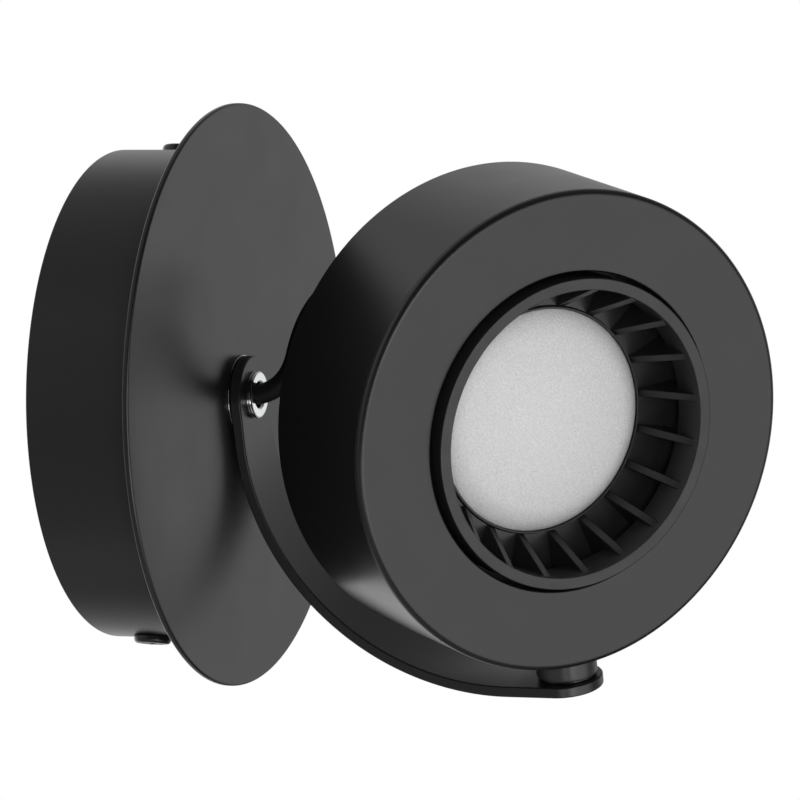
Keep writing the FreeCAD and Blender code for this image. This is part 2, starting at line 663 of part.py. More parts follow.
def led_chips():
    """One light-emitting chip in the middle and a ring of eight around it."""
    half = 1.5
    height = 0.7
    circle = 11.0
    places = [(0.0, 0.0)]
    for chip in range(8):
        angle = math.radians(45.0 * chip)
        places.append((circle * math.cos(angle), circle * math.sin(angle)))
    chips = []
    for x, z in places:
        low = (x - half, FACE_Y + BOARD_DEPTH - height, HEAD_Z + z - half)
        high = (x + half, FACE_Y + BOARD_DEPTH, HEAD_Z + z + half)
        chips.append(block(low, high))
    return turned(Part.makeCompound(chips))


def heat_sink():
    """Aluminium plate behind the board, with level ribs above and below the connector."""
    front_y = FACE_Y + SINK_DEPTH
    sink = rod(FLOOR_RADIUS, Vector(0, front_y, HEAD_Z), Y_AXIS, SINK_THICK)
    reach = FLOOR_RADIUS - 6.0
    first = 9.0
    ribs = []
    for side in (1, -1):
        for count in range(SINK_RIBS):
            offset = first + SINK_RIB_PITCH * count
            half = math.sqrt(reach ** 2 - offset ** 2)
            z = HEAD_Z + side * offset - SINK_RIB_THICK / 2
            low = (-half, front_y + SINK_THICK - 0.5, z)
            high = (half, front_y + SINK_THICK + SINK_RIB_HEIGHT, z + SINK_RIB_THICK)
            ribs.append(block(low, high))
    sink = sink.multiFuse(ribs)
    for place in post_places():
        clear = rod(COLLAR_RADIUS, place + Y_AXIS * (SINK_DEPTH + SINK_THICK), Y_AXIS, 10.0)
        hole = rod(MODULE_SCREW_HOLE, place + Y_AXIS * SINK_DEPTH, Y_AXIS, SINK_THICK)
        sink = sink.cut(clear).cut(hole)
    return turned(sink.removeSplitter())


def module_screws():
    """Three screws through the heat sink and the frame into the face plate's posts."""
    screws = []
    seat = SINK_DEPTH + SINK_THICK
    for place in post_places():
        screw = pan_screw(MODULE_SCREW - 0.05, seat - 4.0, 2.4, 1.7)
        screw.Placement = FreeCAD.Placement(place + Y_AXIS * seat, FreeCAD.Rotation(Z_AXIS, Y_AXIS))
        screws.append(screw)
    return turned(Part.makeCompound(screws))


def head_connector():
    """Small plug block on the heat sink that takes the lead's end."""
    start = SINK_DEPTH + SINK_THICK
    body = block((-6.0, FACE_Y + start, HEAD_Z - 5.0), (6.0, FACE_Y + start + 4.5, HEAD_Z + 5.0))
    return turned(body.makeFillet(0.6, body.Edges))


def rear_grommet():
    """Rubber grommet in the drum's back, where the lead goes in."""
    bore = LEAD_RADIUS + RUNNING
    back = DRUM_DEPTH
    inside = DRUM_DEPTH - DRUM_WALL
    lip_end = inside - GROMMET_LIP
    neck = GROMMET_NECK - 0.02
    return turned(head_spun([(bore, back + GROMMET_STEP), (GROMMET_FLANGE - 0.5, back + GROMMET_STEP),
                             (GROMMET_FLANGE, back + GROMMET_STEP / 2), (GROMMET_FLANGE, back),
                             (neck, back), (neck, inside), (GROMMET_FLANGE, inside),
                             (GROMMET_FLANGE, lip_end), (bore, lip_end)]))


def lead_in_head():
    """The lead's last stretch, through the grommet to the connector."""
    end = SINK_DEPTH + SINK_THICK + 4.5
    start = Vector(0, FACE_Y + end, HEAD_Z)
    return turned(rod(LEAD_RADIUS, start, Y_AXIS, DRUM_DEPTH + GROMMET_STEP - end))


def drum_cable_tie():
    """Tie around the lead inside the drum, which keeps a pull off the connector."""
    lip_end = DRUM_DEPTH - DRUM_WALL - GROMMET_LIP
    start = Vector(0, FACE_Y + lip_end - TIE_THICK - 2 * GAP, HEAD_Z)
    return turned(tube(TIE_RADIUS, LEAD_RADIUS + RUNNING, start, Y_AXIS, TIE_THICK))


# ---- pivot under the drum -----------------------------------------------------------------

def pivot_washer():
    """Friction washer between the arm's lower tab and the boss."""
    start = PIVOT + Z_AXIS * (TAB_TOP + GAP)
    return turned(tube(PIVOT_WASHER_RADIUS, PIVOT_RADIUS + RUNNING, start, Z_AXIS, PIVOT_WASHER_THICK))


def pivot_boss():
    """Round spacer under the drum, its top fitted to the drum, with a threaded stud."""
    top = HEAD_Z - DRUM_RADIUS
    boss = rod(BOSS_RADIUS, PIVOT + Z_AXIS * WASHER_TOP, Z_AXIS, top - WASHER_TOP + 1.0)
    drum = rod(DRUM_RADIUS, Vector(0, FACE_Y, HEAD_Z), Y_AXIS, DRUM_DEPTH)
    boss = boss.cut(drum)
    stud_top = NUT_SEAT + BOSS_WASHER_THICK + BOSS_NUT_THICK + 0.3
    boss = boss.fuse(rod(STUD_RADIUS, PIVOT + Z_AXIS * WASHER_TOP, Z_AXIS, stud_top - WASHER_TOP))
    boss = boss.cut(rod(PIVOT_RADIUS + 0.02, PIVOT + Z_AXIS * WASHER_TOP, Z_AXIS, SCREW_REACH + 1.0))
    return turned(boss.removeSplitter())


def pivot_screw():
    """Low-headed screw from under the arm into the boss; the head turns on its shank."""
    underside = PIVOT + Z_AXIS * (TAB_BOTTOM - GAP)
    screw = rod(PIVOT_HEAD_RADIUS, underside, -Z_AXIS, PIVOT_HEAD_THICK)
    screw = rounded(screw, 0.35, lambda edge: edge.BoundBox.ZMax < underside.z - 0.9 and edge.Closed)
    slot = block((-PIVOT_HEAD_RADIUS, PIVOT.y - 0.5, underside.z - PIVOT_HEAD_THICK),
                 (PIVOT_HEAD_RADIUS, PIVOT.y + 0.5, underside.z - PIVOT_HEAD_THICK + 0.5))
    screw = screw.cut(slot)
    length = WASHER_TOP + SCREW_REACH - underside.z
    return turned(screw.fuse(rod(PIVOT_RADIUS, underside, Z_AXIS, length)).removeSplitter())


def boss_washer():
    """Washer inside the drum under the stud's nut."""
    start = PIVOT + Z_AXIS * NUT_SEAT
    return turned(tube(PIVOT_WASHER_RADIUS, STUD_RADIUS + RUNNING, start, Z_AXIS, BOSS_WASHER_THICK))


def boss_nut():
    """Nut inside the drum that clamps the boss."""
    start = PIVOT + Z_AXIS * (NUT_SEAT + BOSS_WASHER_THICK)
    nut = hex_prism(BOSS_NUT_FLATS, start, Z_AXIS, BOSS_NUT_THICK)
    return turned(nut.cut(rod(STUD_RADIUS + RUNNING, start, Z_AXIS, BOSS_NUT_THICK)))


# ---- every node ---------------------------------------------------------------------------

PIECES = [
    canopy_cup, front_disc, wall_bracket, canopy_screws, earth_washer, earth_screw, led_driver,
    terminal_block, terminal_sleeves, terminal_screws, driver_input_leads, earth_lead,
    hollow_bolt,
    ring_washer, spring_washer, lock_nut, canopy_cable_tie, lead_in_canopy, arm_strip, head_lead,
    drum_shell, face_plate, module_frame, lens, lens_ring, led_board, led_chips, heat_sink,
    module_screws, head_connector, rear_grommet, lead_in_head, drum_cable_tie, pivot_washer,
    pivot_boss, pivot_screw, boss_washer, boss_nut,
]

os.makedirs("parts", exist_ok=True)
for piece in PIECES:
    shape = piece()
    shape.exportStep("parts/" + piece.__name__ + ".step")
    print(piece.__name__, "solids", len(shape.Solids), "volume", round(shape.Volume, 1),
          "valid", shape.isValid())
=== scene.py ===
import json
import logging
import math
from dataclasses import dataclass, field
from enum import Enum
from typing import Protocol

import bpy
import numpy as np
from mathutils import Matrix, Vector

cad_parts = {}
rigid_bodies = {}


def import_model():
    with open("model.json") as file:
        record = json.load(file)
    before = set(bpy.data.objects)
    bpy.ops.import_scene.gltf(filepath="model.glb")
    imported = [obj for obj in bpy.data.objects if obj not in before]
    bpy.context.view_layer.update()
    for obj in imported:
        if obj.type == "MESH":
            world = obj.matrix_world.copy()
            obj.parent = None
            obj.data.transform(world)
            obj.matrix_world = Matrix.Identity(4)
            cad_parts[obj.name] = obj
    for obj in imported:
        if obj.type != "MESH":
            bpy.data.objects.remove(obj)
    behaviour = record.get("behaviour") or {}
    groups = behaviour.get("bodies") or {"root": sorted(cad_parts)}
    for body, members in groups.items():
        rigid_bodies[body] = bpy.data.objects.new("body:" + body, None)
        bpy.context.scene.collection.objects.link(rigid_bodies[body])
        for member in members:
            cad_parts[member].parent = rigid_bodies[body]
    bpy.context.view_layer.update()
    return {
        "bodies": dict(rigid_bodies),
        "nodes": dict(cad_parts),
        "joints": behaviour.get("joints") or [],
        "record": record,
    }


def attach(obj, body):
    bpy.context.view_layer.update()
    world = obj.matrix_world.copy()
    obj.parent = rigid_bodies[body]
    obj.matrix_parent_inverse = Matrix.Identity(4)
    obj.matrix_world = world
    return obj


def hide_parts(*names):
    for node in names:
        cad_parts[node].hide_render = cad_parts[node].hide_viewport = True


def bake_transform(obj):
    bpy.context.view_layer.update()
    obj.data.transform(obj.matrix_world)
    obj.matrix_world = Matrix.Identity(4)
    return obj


# The dress of a pivoting spotlight wall light. The wall is the plane Y = 0 and the lamp stands
# out towards -Y; +Z is up. Sizes in the classes are millimetres, and meshes are in metres.

MM = 0.001
TINY = 1e-6
SHARP_DEGREES = 38.0
X_AXIS, Y_AXIS, Z_AXIS = (1, 0, 0), (0, 1, 0), (0, 0, 1)
LOG = logging.getLogger("wall_light")
Array = np.ndarray
Triple = tuple[float, float, float]
Corners = list[tuple[float, float]]
Socket = bpy.types.NodeSocket


class Body(Enum):
    """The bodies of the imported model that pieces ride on."""

    CANOPY = "canopy"
    ARM = "arm"
    HEAD = "head"


class Recess(Enum):
    """The kinds of drive recess in a screw's head."""

    CROSS = "cross"
    SLOT = "slot"


# ---- surfaces -----------------------------------------------------------------------------


@dataclass
class Surface:
    """Points in millimetres with the quads and triangles between them."""

    points: Array
    quads: Array
    triangles: Array = field(default_factory=lambda: np.zeros((0, 3), int))

    def volume(self) -> float:
        """The signed volume: a sixth of the triple products of the triangles' corners, summed.

        Returns:
            Cubic millimetres, negative where the faces point inwards.
        """
        halves = [self.quads[:, [0, 1, 2]], self.quads[:, [0, 2, 3]], self.triangles]
        corners = self.points[np.concatenate(halves)]
        crossed = np.cross(corners[:, 1], corners[:, 2])
        return float(np.einsum("ij,ij->", corners[:, 0], crossed) / 6.0)

    def outward(self) -> "Surface":
        """The same closed surface with its faces pointing outwards."""
        step = 1 if self.volume() >= 0 else -1
        return Surface(self.points, self.quads[:, ::step], self.triangles[:, ::step])

    def placed(self, matrix: Array) -> "Surface":
        """The surface with its points carried by a 4x4 matrix."""
        moved = self.points @ matrix[:3, :3].T + matrix[:3, 3]
        return Surface(moved, self.quads, self.triangles)

    def repeated(self, matrices: Array) -> "Surface":
        """Copies of the surface, one for each matrix of an (n, 4, 4) array.

        Args:
            matrices: the places of the copies.

        Returns:
            One surface that holds every copy.
        """
        moved = np.einsum("nij,pj->npi", matrices[:, :3, :3], self.points)
        moved += matrices[:, None, :3, 3]
        shift = (np.arange(len(matrices)) * len(self.points))[:, None, None]
        return Surface(moved.reshape(-1, 3), (self.quads + shift).reshape(-1, 4),
                       (self.triangles + shift).reshape(-1, 3))


def joined(surfaces: list[Surface]) -> Surface:
    """Several surfaces as one.

    Args:
        surfaces: the surfaces to put together.

    Returns:
        One surface, its face indices shifted past the points of those before it.
    """
    shifts = np.cumsum([0] + [len(part.points) for part in surfaces[:-1]])
    return Surface(
        np.concatenate([part.points for part in surfaces]),
        np.concatenate([part.quads + shift for part, shift in zip(surfaces, shifts)]),
        np.concatenate([part.triangles + shift for part, shift in zip(surfaces, shifts)]),
    )


def unit(vectors: Array) -> Array:
    """Vectors divided by their lengths, or by next to nothing where they have none."""
    return vectors / np.maximum(np.linalg.norm(vectors, axis=-1, keepdims=True), 1e-12)


def smooth_step(value: Array) -> Array:
    """Values held between 0 and 1, then three times their square less twice their cube."""
    value = np.clip(value, 0, 1)
    return value * value * (3 - 2 * value)


def round_angles(count: int) -> Array:
    """Even angles over a full circle."""
    return np.linspace(0, 2 * math.pi, count, endpoint=False)


def quarter_round(size: float, count: int) -> tuple[Array, Array]:
    """How far a quarter round's points lie inside its two faces: size times 1 - sin and 1 - cos."""
    angle = np.linspace(0, math.pi / 2, count)
    return size * (1 - np.sin(angle)), size * (1 - np.cos(angle))


def grid_quads(ids: Array, wrap_rows: bool = False, wrap_columns: bool = True) -> Array:
    """Quads between neighbouring rows and columns of a grid of point numbers.

    Args:
        ids: the point numbers as (rows, columns).
        wrap_rows: whether the last row joins the first.
        wrap_columns: whether the last column joins the first.

    Returns:
        The quads as (n, 4).
    """
    if wrap_rows:
        ids = np.concatenate([ids, ids[:1]])
    right = np.roll(ids, -1, axis=1)
    quads = np.stack([ids[:-1], right[:-1], right[1:], ids[1:]], axis=2)
    return (quads if wrap_columns else quads[:, :-1]).reshape(-1, 4)


def grid_surface(grid: Array, wrap_rows: bool = False) -> Surface:
    """A surface through a grid of points whose columns run round and close on themselves.

    Rows whose points all coincide become one point, so poles are closed with triangles.

    Args:
        grid: points as (rows, columns, 3).
        wrap_rows: whether the last row also joins the first, as on a ring.

    Returns:
        The surface, with its faces pointing outwards where it is closed.
    """
    rows, columns, _ = grid.shape
    ids = np.arange(rows * columns).reshape(rows, columns)
    pole = np.linalg.norm(grid - grid[:, :1], axis=2).max(axis=1) < TINY
    ids[pole] = ids[pole][:, :1]
    quads = grid_quads(ids, wrap_rows)
    top, foot = quads[:, 0] == quads[:, 1], quads[:, 2] == quads[:, 3]
    triangles = np.concatenate([quads[top & ~foot][:, [0, 2, 3]],
                                quads[foot & ~top][:, [0, 1, 2]]])
    quads = quads[~top & ~foot]
    split = quads.size
    used, flat = np.unique(np.concatenate([quads.ravel(), triangles.ravel()]),
                           return_inverse=True)
    return Surface(grid.reshape(-1, 3)[used], flat[:split].reshape(-1, 4),
                   flat[split:].reshape(-1, 3)).outward()


def rounded_outline(corners: Corners, radii: list[float], steps: int = 6,
                    margin: float = 0.12, closed: bool = True) -> Array:
    """An outline whose corners are arcs, with support points beside each arc.

    At a corner with unit ways in u and out v that turn by t, the arc's centre lies at the corner
    plus (v - u)/|v - u| times r/cos(t/2), and its points are the centre plus r times
    (cos a, sin a) in the axes (u - v)/|u - v| and (u + v)/|u + v|, for a from -t/2 to t/2.

    Args:
        corners: the outline's corners.
        radii: the arc's radius at each corner, 0 for a sharp one.
        steps: the pieces of each arc.
        margin: how far beside an arc its support points lie.
        closed: whether the last corner joins the first.

    Returns:
        The outline's points as (n, 2).
    """
    at = np.array(corners, float)
    way_in, way_out = at - np.roll(at, 1, axis=0), np.roll(at, -1, axis=0) - at
    if not closed:
        way_in[0], way_out[-1] = way_out[0], way_in[-1]
    way_in, way_out = unit(way_in), unit(way_out)
    turn = np.arccos(np.clip(np.einsum("ij,ij->i", way_in, way_out), -1, 1))
    radius = np.where(turn > TINY, np.array(radii, float), 0.0)[:, None]
    inward, along = unit(way_out - way_in), unit(way_out + way_in)
    centre = at + inward * radius / np.maximum(np.cos(turn / 2), TINY)[:, None]
    angle = turn[:, None] * np.linspace(-0.5, 0.5, steps + 1)
    arcs = (centre[:, None] - inward[:, None] * (radius * np.cos(angle))[:, :, None]
            + along[:, None] * (radius * np.sin(angle))[:, :, None])
    start, end = arcs[:, -1], np.roll(arcs[:, 0], -1, axis=0)
    run = end - start
    length = np.maximum(np.linalg.norm(run, axis=1, keepdims=True), 1e-12)
    support = run * np.minimum(margin / length, 0.45)
    points = np.concatenate([arcs, (start + support)[:, None], (end - support)[:, None]], axis=1)
    points = points.reshape(-1, 2)
    if not closed:
        points = points[:-2]
    keep = np.linalg.norm(points - np.roll(points, 1, axis=0), axis=1) > TINY
    keep[0] |= not closed
    return points[keep]


def spun(outline: Array, segments: int, closed: bool = True) -> Surface:
    """An outline of (radius, y) turned about the Y axis: (r cos a, y, r sin a), all round.

    Args:
        outline: the outline's points; an open one starts and ends on the axis.
        segments: the number of steps round the circle.
        closed: whether the outline's last point joins its first.

    Returns:
        The closed surface.
    """
    angle = round_angles(segments)
    radius, height = outline[:, :1], outline[:, 1:]
    level = np.broadcast_to(height, (len(outline), segments))
    grid = np.stack([radius * np.cos(angle), level, radius * np.sin(angle)], axis=2)
    return grid_surface(grid, wrap_rows=closed)


def turned(corners: Corners, radii: list[float], segments: int, steps: int = 6,
           margin: float = 0.12, closed: bool = True) -> Surface:
    """An outline of rounded corners turned about the Y axis."""
    return spun(rounded_outline(corners, radii, steps, margin, closed), segments, closed)


def band(inner: float, outer: float, start: float, end: float) -> Corners:
    """The corners of a ring's section, from one radius to another and one height to another."""
    return [(inner, start), (outer, start), (outer, end), (inner, end)]


def tube_surface(path: Array, radius: float, reference: Triple, sides: int) -> Surface:
    """A round tube along a path, closed at both ends.

    Each ring is the path's point plus the radius times (cos a, sin a) in two axes square to the
    path's tangent; the first axis is the cross product of the tangent and the reference.

    Args:
        path: the centreline's points as (n, 3).
        radius: the tube's radius.
        reference: a direction that the path never runs along.
        sides: the number of sides of a ring.

    Returns:
        The closed surface.
    """
    tangent = unit(np.gradient(path, axis=0))
    first = unit(np.cross(tangent, reference))
    second = np.cross(tangent, first)
    angle = round_angles(sides)[None, :, None]
    ring = first[:, None] * np.cos(angle) + second[:, None] * np.sin(angle)
    start, end = (np.broadcast_to(path[tip], (1, sides, 3)) for tip in (0, -1))
    return grid_surface(np.concatenate([start, path[:, None] + radius * ring, end]))


def turn_matrix(axis: Triple, degrees: float, about: Triple = (0, 0, 0)) -> Array:
    """A 4x4 turn R about an axis through a point p, which moves by p less R times p.

    Args:
        axis: the axis.
        degrees: the angle.
        about: the point.

    Returns:
        The matrix.
    """
    turn = np.array(Matrix.Rotation(math.radians(degrees), 4, axis), float)
    centre = np.array(about, float)
    turn[:3, 3] = centre - turn[:3, :3] @ centre
    return turn


def shift_matrix(x: float, y: float, z: float) -> Array:
    """A 4x4 move."""
    return np.array(Matrix.Translation((x, y, z)), float)


# ---- nodes and finishes -------------------------------------------------------------------


class Nodes:
    """The node tree of a material or of the world."""

    def __init__(self, owner: bpy.types.Material | bpy.types.World) -> None:
        """Start the tree of its owner empty.

        Args:
            owner: the material or the world.
        """
        owner.use_nodes = True
        self.owner, self.tree = owner, owner.node_tree
        self.tree.nodes.clear()

    def add(self, kind: str, result: str | int, values: dict[str | int, object] | None = None,
            operation: str = "") -> Socket:
        """Add a node.

        Args:
            kind: the node's type, without ShaderNode before it.
            result: the name or number of the output that is wanted.
            values: what each input is set to, or linked to where it is an output.
            operation: a mathematical node's operation.

        Returns:
            The output.
        """
        node = self.tree.nodes.new("ShaderNode" + kind)
        if operation:
            node.operation = operation
        for name, value in (values or {}).items():
            if isinstance(value, Socket):
                self.tree.links.new(value, node.inputs[name])
            else:
                node.inputs[name].default_value = value
        return node.outputs[result]

    def show(self, kind: str, shader: Socket) -> None:
        """Link a shader to the tree's output, of the kind Material or World."""
        output = self.tree.nodes.new("ShaderNodeOutput" + kind)
        self.tree.links.new(shader, output.inputs["Surface"])

    def mixed(self, share: Socket, first: Socket, second: Socket) -> Socket:
        """The first shader where the share is 0 and the second where it is 1."""
        return self.add("MixShader", "Shader", {"Fac": share, 1: first, 2: second})

    def combined(self, operation: str, values: list[Socket]) -> Socket:
        """Values taken together one after another.

        Args:
            operation: the mathematical operation that joins two.
            values: the values' outputs.

        Returns:
            The whole's output.
        """
        whole = values[0]
        for value in values[1:]:
            whole = self.add("Math", 0, {0: whole, 1: value}, operation)
        return whole

    def rays(self, *kinds: str) -> Socket:
        """An output that is 1 for rays of these kinds and 0 for others."""
        seen = [self.add("LightPath", f"Is {kind} Ray") for kind in kinds]
        return self.combined("MAXIMUM", seen)

    def ranged(self, value: Socket, low: float, high: float, low_at: float = 0.3,
               high_at: float = 0.7, smooth: bool = False) -> Socket:
        """A value mapped to a range.

        Args:
            value: the value's output.
            low: the result where the value is low_at or less.
            high: the result where the value is high_at or more.
            low_at: the value that gives low.
            high_at: the value that gives high.
            smooth: whether a smooth step leads from low to high.

        Returns:
            The mapped output.
        """
        result = self.add("MapRange", "Result", {"Value": value, "From Min": low_at,
                                                 "From Max": high_at, "To Min": low,
                                                 "To Max": high})
        if smooth:
            result.node.interpolation_type = "SMOOTHSTEP"
        return result


class Shader(Nodes):
    """A material's nodes, with patterns on Object coordinates."""

    def __init__(self, name: str) -> None:
        """Start an empty material of this name."""
        super().__init__(bpy.data.materials.new(name))
        self.place = self.add("TexCoord", "Object")

    def noise(self, size: float, detail: float = 2.0, roughness: float = 0.5) -> Socket:
        """A noise from 0 to 1: its blotches' size, its finer layers and their strength."""
        return self.add("TexNoise", "Fac", {"Scale": 1.0 / (size * MM), "Detail": detail,
                                            "Roughness": roughness, "Vector": self.place})

    def speckle(self, size: float) -> Socket:
        """Cells with a random value each, as of a crystal grain, as an output from 0 to 1."""
        cells = self.add("TexVoronoi", "Color", {"Scale": 1.0 / (size * MM), "Vector": self.place})
        return self.add("SeparateColor", "Red", {"Color": cells})

    def tones(self, pattern: Socket, low: Triple, high: Triple, low_at: float = 0.3,
              high_at: float = 0.7) -> Socket:
        """Colours along a pattern's values.

        Args:
            pattern: the pattern's output.
            low: the linear colour where the pattern is low_at or less.
            high: the linear colour where the pattern is high_at or more.
            low_at: the pattern's value that gives low.
            high_at: the pattern's value that gives high.

        Returns:
            The colour output.
        """
        ramp = self.add("ValToRGB", "Color", {"Fac": pattern})
        stops = ((low_at, low), (high_at, high))
        for element, (position, colour) in zip(ramp.node.color_ramp.elements, stops):
            element.position, element.color = position, (*colour, 1.0)
        return ramp

    def bump(self, *layers: tuple[Socket, float, float]) -> Socket:
        """A normal raised by patterns.

        Args:
            layers: each pattern with its strength and its height in millimetres.

        Returns:
            The normal's output.
        """
        below: dict[str | int, object] = {}
        for pattern, strength, height in layers:
            values = {"Strength": strength, "Distance": height * MM, "Height": pattern}
            below = {"Normal": self.add("Bump", "Normal", values | below)}
        return below["Normal"]

    def surface(self, **values: object) -> bpy.types.Material:
        """The material with a surface shader.

        Args:
            values: what its sockets, named with underscores, are set or linked to.

        Returns:
            The material.
        """
        named = {name.replace("_", " "): value for name, value in values.items()}
        self.show("Material", self.add("BsdfPrincipled", "BSDF", named))
        return self.owner


def grey(value: float) -> Triple:
    """A neutral linear colour."""
    return (value, value, value)


def scaled(colour: Triple, factor: float) -> Triple:
    """A colour made lighter or darker, up to full white."""
    return tuple(min(1.0, channel * factor) for channel in colour)


class Finish(Protocol):
    """What dresses a piece: a name, and a material made to it."""

    name: str

    def material(self) -> bpy.types.Material:
        """The node material."""


@dataclass(frozen=True)
class SatinCoat:
    """Satin black powder coat: a fine even grain over a faint long ripple."""

    name: str = "satin_black_coat"
    tone: float = 0.007
    spread: float = 0.002
    roughness: float = 0.32
    gloss_level: float = 0.50
    gloss_wander: float = 0.012
    cloud: float = 9.0
    ripple: float = 1.6
    ripple_height: float = 0.008
    grain: float = 0.28
    grain_height: float = 0.010

    def material(self) -> bpy.types.Material:
        """The node material.

        Returns:
            The material.
        """
        shader = Shader(self.name)
        grain = shader.noise(self.grain, detail=3.0, roughness=0.6)
        cloud = shader.noise(self.cloud, detail=3.0)
        ripple = shader.noise(self.ripple, detail=1.0)
        low, high = grey(self.tone - self.spread), grey(self.tone + self.spread)
        return shader.surface(
            Base_Color=shader.tones(grain, low, high, 0.32, 0.68),
            Roughness=shader.ranged(cloud, self.roughness - self.gloss_wander,
                                    self.roughness + self.gloss_wander),
            Specular_IOR_Level=self.gloss_level,
            Normal=shader.bump((ripple, 0.12, self.ripple_height),
                               (grain, 0.4, self.grain_height)))


@dataclass(frozen=True)
class BrightMetal:
    """Bright plated or turned metal with fine turning marks and faint smears."""

    name: str
    colour: Triple
    roughness: float = 0.12
    smear: float = 0.05
    smear_size: float = 2.5
    mark_size: float = 0.18
    mark_height: float = 0.004

    def material(self) -> bpy.types.Material:
        """The node material.

        Returns:
            The material.
        """
        shader = Shader(self.name)
        smears = shader.noise(self.smear_size, detail=4.0, roughness=0.6)
        marks = shader.noise(self.mark_size)
        return shader.surface(
            Base_Color=shader.tones(smears, self.colour, scaled(self.colour, 0.9), 0.35),
            Roughness=shader.ranged(smears, self.roughness, self.roughness + self.smear),
            Metallic=1.0, Normal=shader.bump((marks, 0.25, self.mark_height)))


@dataclass(frozen=True)
class ZincPlate:
    """Zinc-plated steel sheet: a patchwork of pale grains with a dull sheen."""

    name: str = "zinc_plated_steel"
    colour: Triple = (0.56, 0.57, 0.59)
    grain: float = 1.4
    wear: float = 3.0
    wear_height: float = 0.01
    roughness: tuple[float, float] = (0.28, 0.46)

    def material(self) -> bpy.types.Material:
        """The node material.

        Returns:
            The material.
        """
        shader = Shader(self.name)
        wear = shader.noise(self.wear, detail=5.0, roughness=0.65)
        return shader.surface(
            Base_Color=shader.tones(shader.speckle(self.grain), scaled(self.colour, 0.72),
                                    self.colour, 0.0, 1.0),
            Roughness=shader.ranged(wear, *self.roughness),
            Metallic=1.0, Normal=shader.bump((wear, 0.3, self.wear_height)))


@dataclass(frozen=True)
class MouldedPlastic:
    """Moulded plastic with a fine spark-eroded texture."""

    name: str
    colour: Triple
    roughness: float = 0.5
    gloss_level: float = 0.4
    grain: float = 0.22
    grain_height: float = 0.015
    spread: float = 0.12
    cloud: float = 4.0

    def material(self) -> bpy.types.Material:
        """The node material.

        Returns:
            The material.
        """
        shader = Shader(self.name)
        grain = shader.noise(self.grain, detail=3.0, roughness=0.65)
        cloud = shader.noise(self.cloud, detail=3.0)
        low, high = (scaled(self.colour, 1 + side * self.spread) for side in (-1, 1))
        return shader.surface(
            Base_Color=shader.tones(grain, low, high),
            Roughness=shader.ranged(cloud, self.roughness - 0.05, self.roughness + 0.06),
            Specular_IOR_Level=self.gloss_level,
            Normal=shader.bump((grain, 0.6, self.grain_height)))


@dataclass(frozen=True)
class SoftRubber:
    """Matt black rubber or flexible sheath with a fine drag texture."""

    name: str
    colour: Triple
    roughness: float
    gloss_level: float = 0.4
    drag: float = 0.35
    drag_height: float = 0.012
    dust: float = 2.2

    def material(self) -> bpy.types.Material:
        """The node material.

        Returns:
            The material.
        """
        shader = Shader(self.name)
        drag = shader.noise(self.drag, detail=4.0, roughness=0.6)
        dust = shader.noise(self.dust, detail=5.0, roughness=0.7)
        return shader.surface(
            Base_Color=shader.tones(dust, self.colour, scaled(self.colour, 1.5), 0.35, 0.75),
            Roughness=shader.ranged(dust, self.roughness - 0.06, self.roughness + 0.1),
            Specular_IOR_Level=self.gloss_level,
            Normal=shader.bump((drag, 0.4, self.drag_height)))


@dataclass(frozen=True)
class FrostedGlass:
    """Frosted white diffuser: a milky body with a sandy, sparkling skin."""

    name: str = "frosted_diffuser"
    colour: Triple = (0.86, 0.865, 0.86)
    roughness: float = 0.5
    gloss_level: float = 0.45
    sand: float = 0.30
    sand_height: float = 0.11
    sparkle: float = 0.30
    cloud: float = 7.0
    cloud_height: float = 0.03
    scatter: float = 0.5
    scatter_reach: float = 5.0

    def material(self) -> bpy.types.Material:
        """The node material.

        Returns:
            The material.
        """
        shader = Shader(self.name)
        sand = shader.noise(self.sand, roughness=0.7)
        sparkle = shader.speckle(self.sparkle)
        cloud = shader.noise(self.cloud, detail=3.0)
        return shader.surface(
            Base_Color=shader.tones(sand, scaled(self.colour, 0.86), scaled(self.colour, 1.12)),
            Roughness=shader.ranged(sparkle, self.roughness - 0.25, self.roughness + 0.1,
                                    0.0, 0.25),
            Subsurface_Weight=self.scatter, Subsurface_Radius=grey(1.0),
            Subsurface_Scale=self.scatter_reach * MM, Specular_IOR_Level=self.gloss_level,
            Normal=shader.bump((cloud, 0.2, self.cloud_height), (sand, 1.0, self.sand_height)))


COAT = SatinCoat()
BOSS_COAT = SatinCoat("satin_black_boss", tone=0.026, roughness=0.33, gloss_level=0.45)
CHROME = BrightMetal("bright_chrome", (0.93, 0.94, 0.95), roughness=0.08, smear=0.03)
# The swivel ring's chrome is darkened to 0.40 grey: painted shade standing in for the dark
# reflections it shows behind the arm.
SHADED_RING_CHROME = BrightMetal("chrome_darkened_as_painted_shade", (0.40, 0.40, 0.41), roughness=0.14)
SHEATH = SoftRubber("lead_sheath", (0.006, 0.006, 0.0065), roughness=0.48)
RUBBER = SoftRubber("black_rubber", grey(0.014), roughness=0.6)
BLACK_SCREW = MouldedPlastic("blackened_screw", grey(0.008), 0.3, 0.5, 0.5, 0.008)
# The pivot washer's zinc plate is darkened to near black: painted shade for its place under the
# boss.
SHADED_ZINC = ZincPlate("zinc_darkened_as_painted_shade", (0.08, 0.08, 0.085))
MODULE_PLASTIC = MouldedPlastic("module_plastic", grey(0.009), 0.35, 0.5, 0.3, 0.02, 0.2)
BLACK_PLASTIC = MouldedPlastic("black_plastic", grey(0.014), 0.42, 0.4)

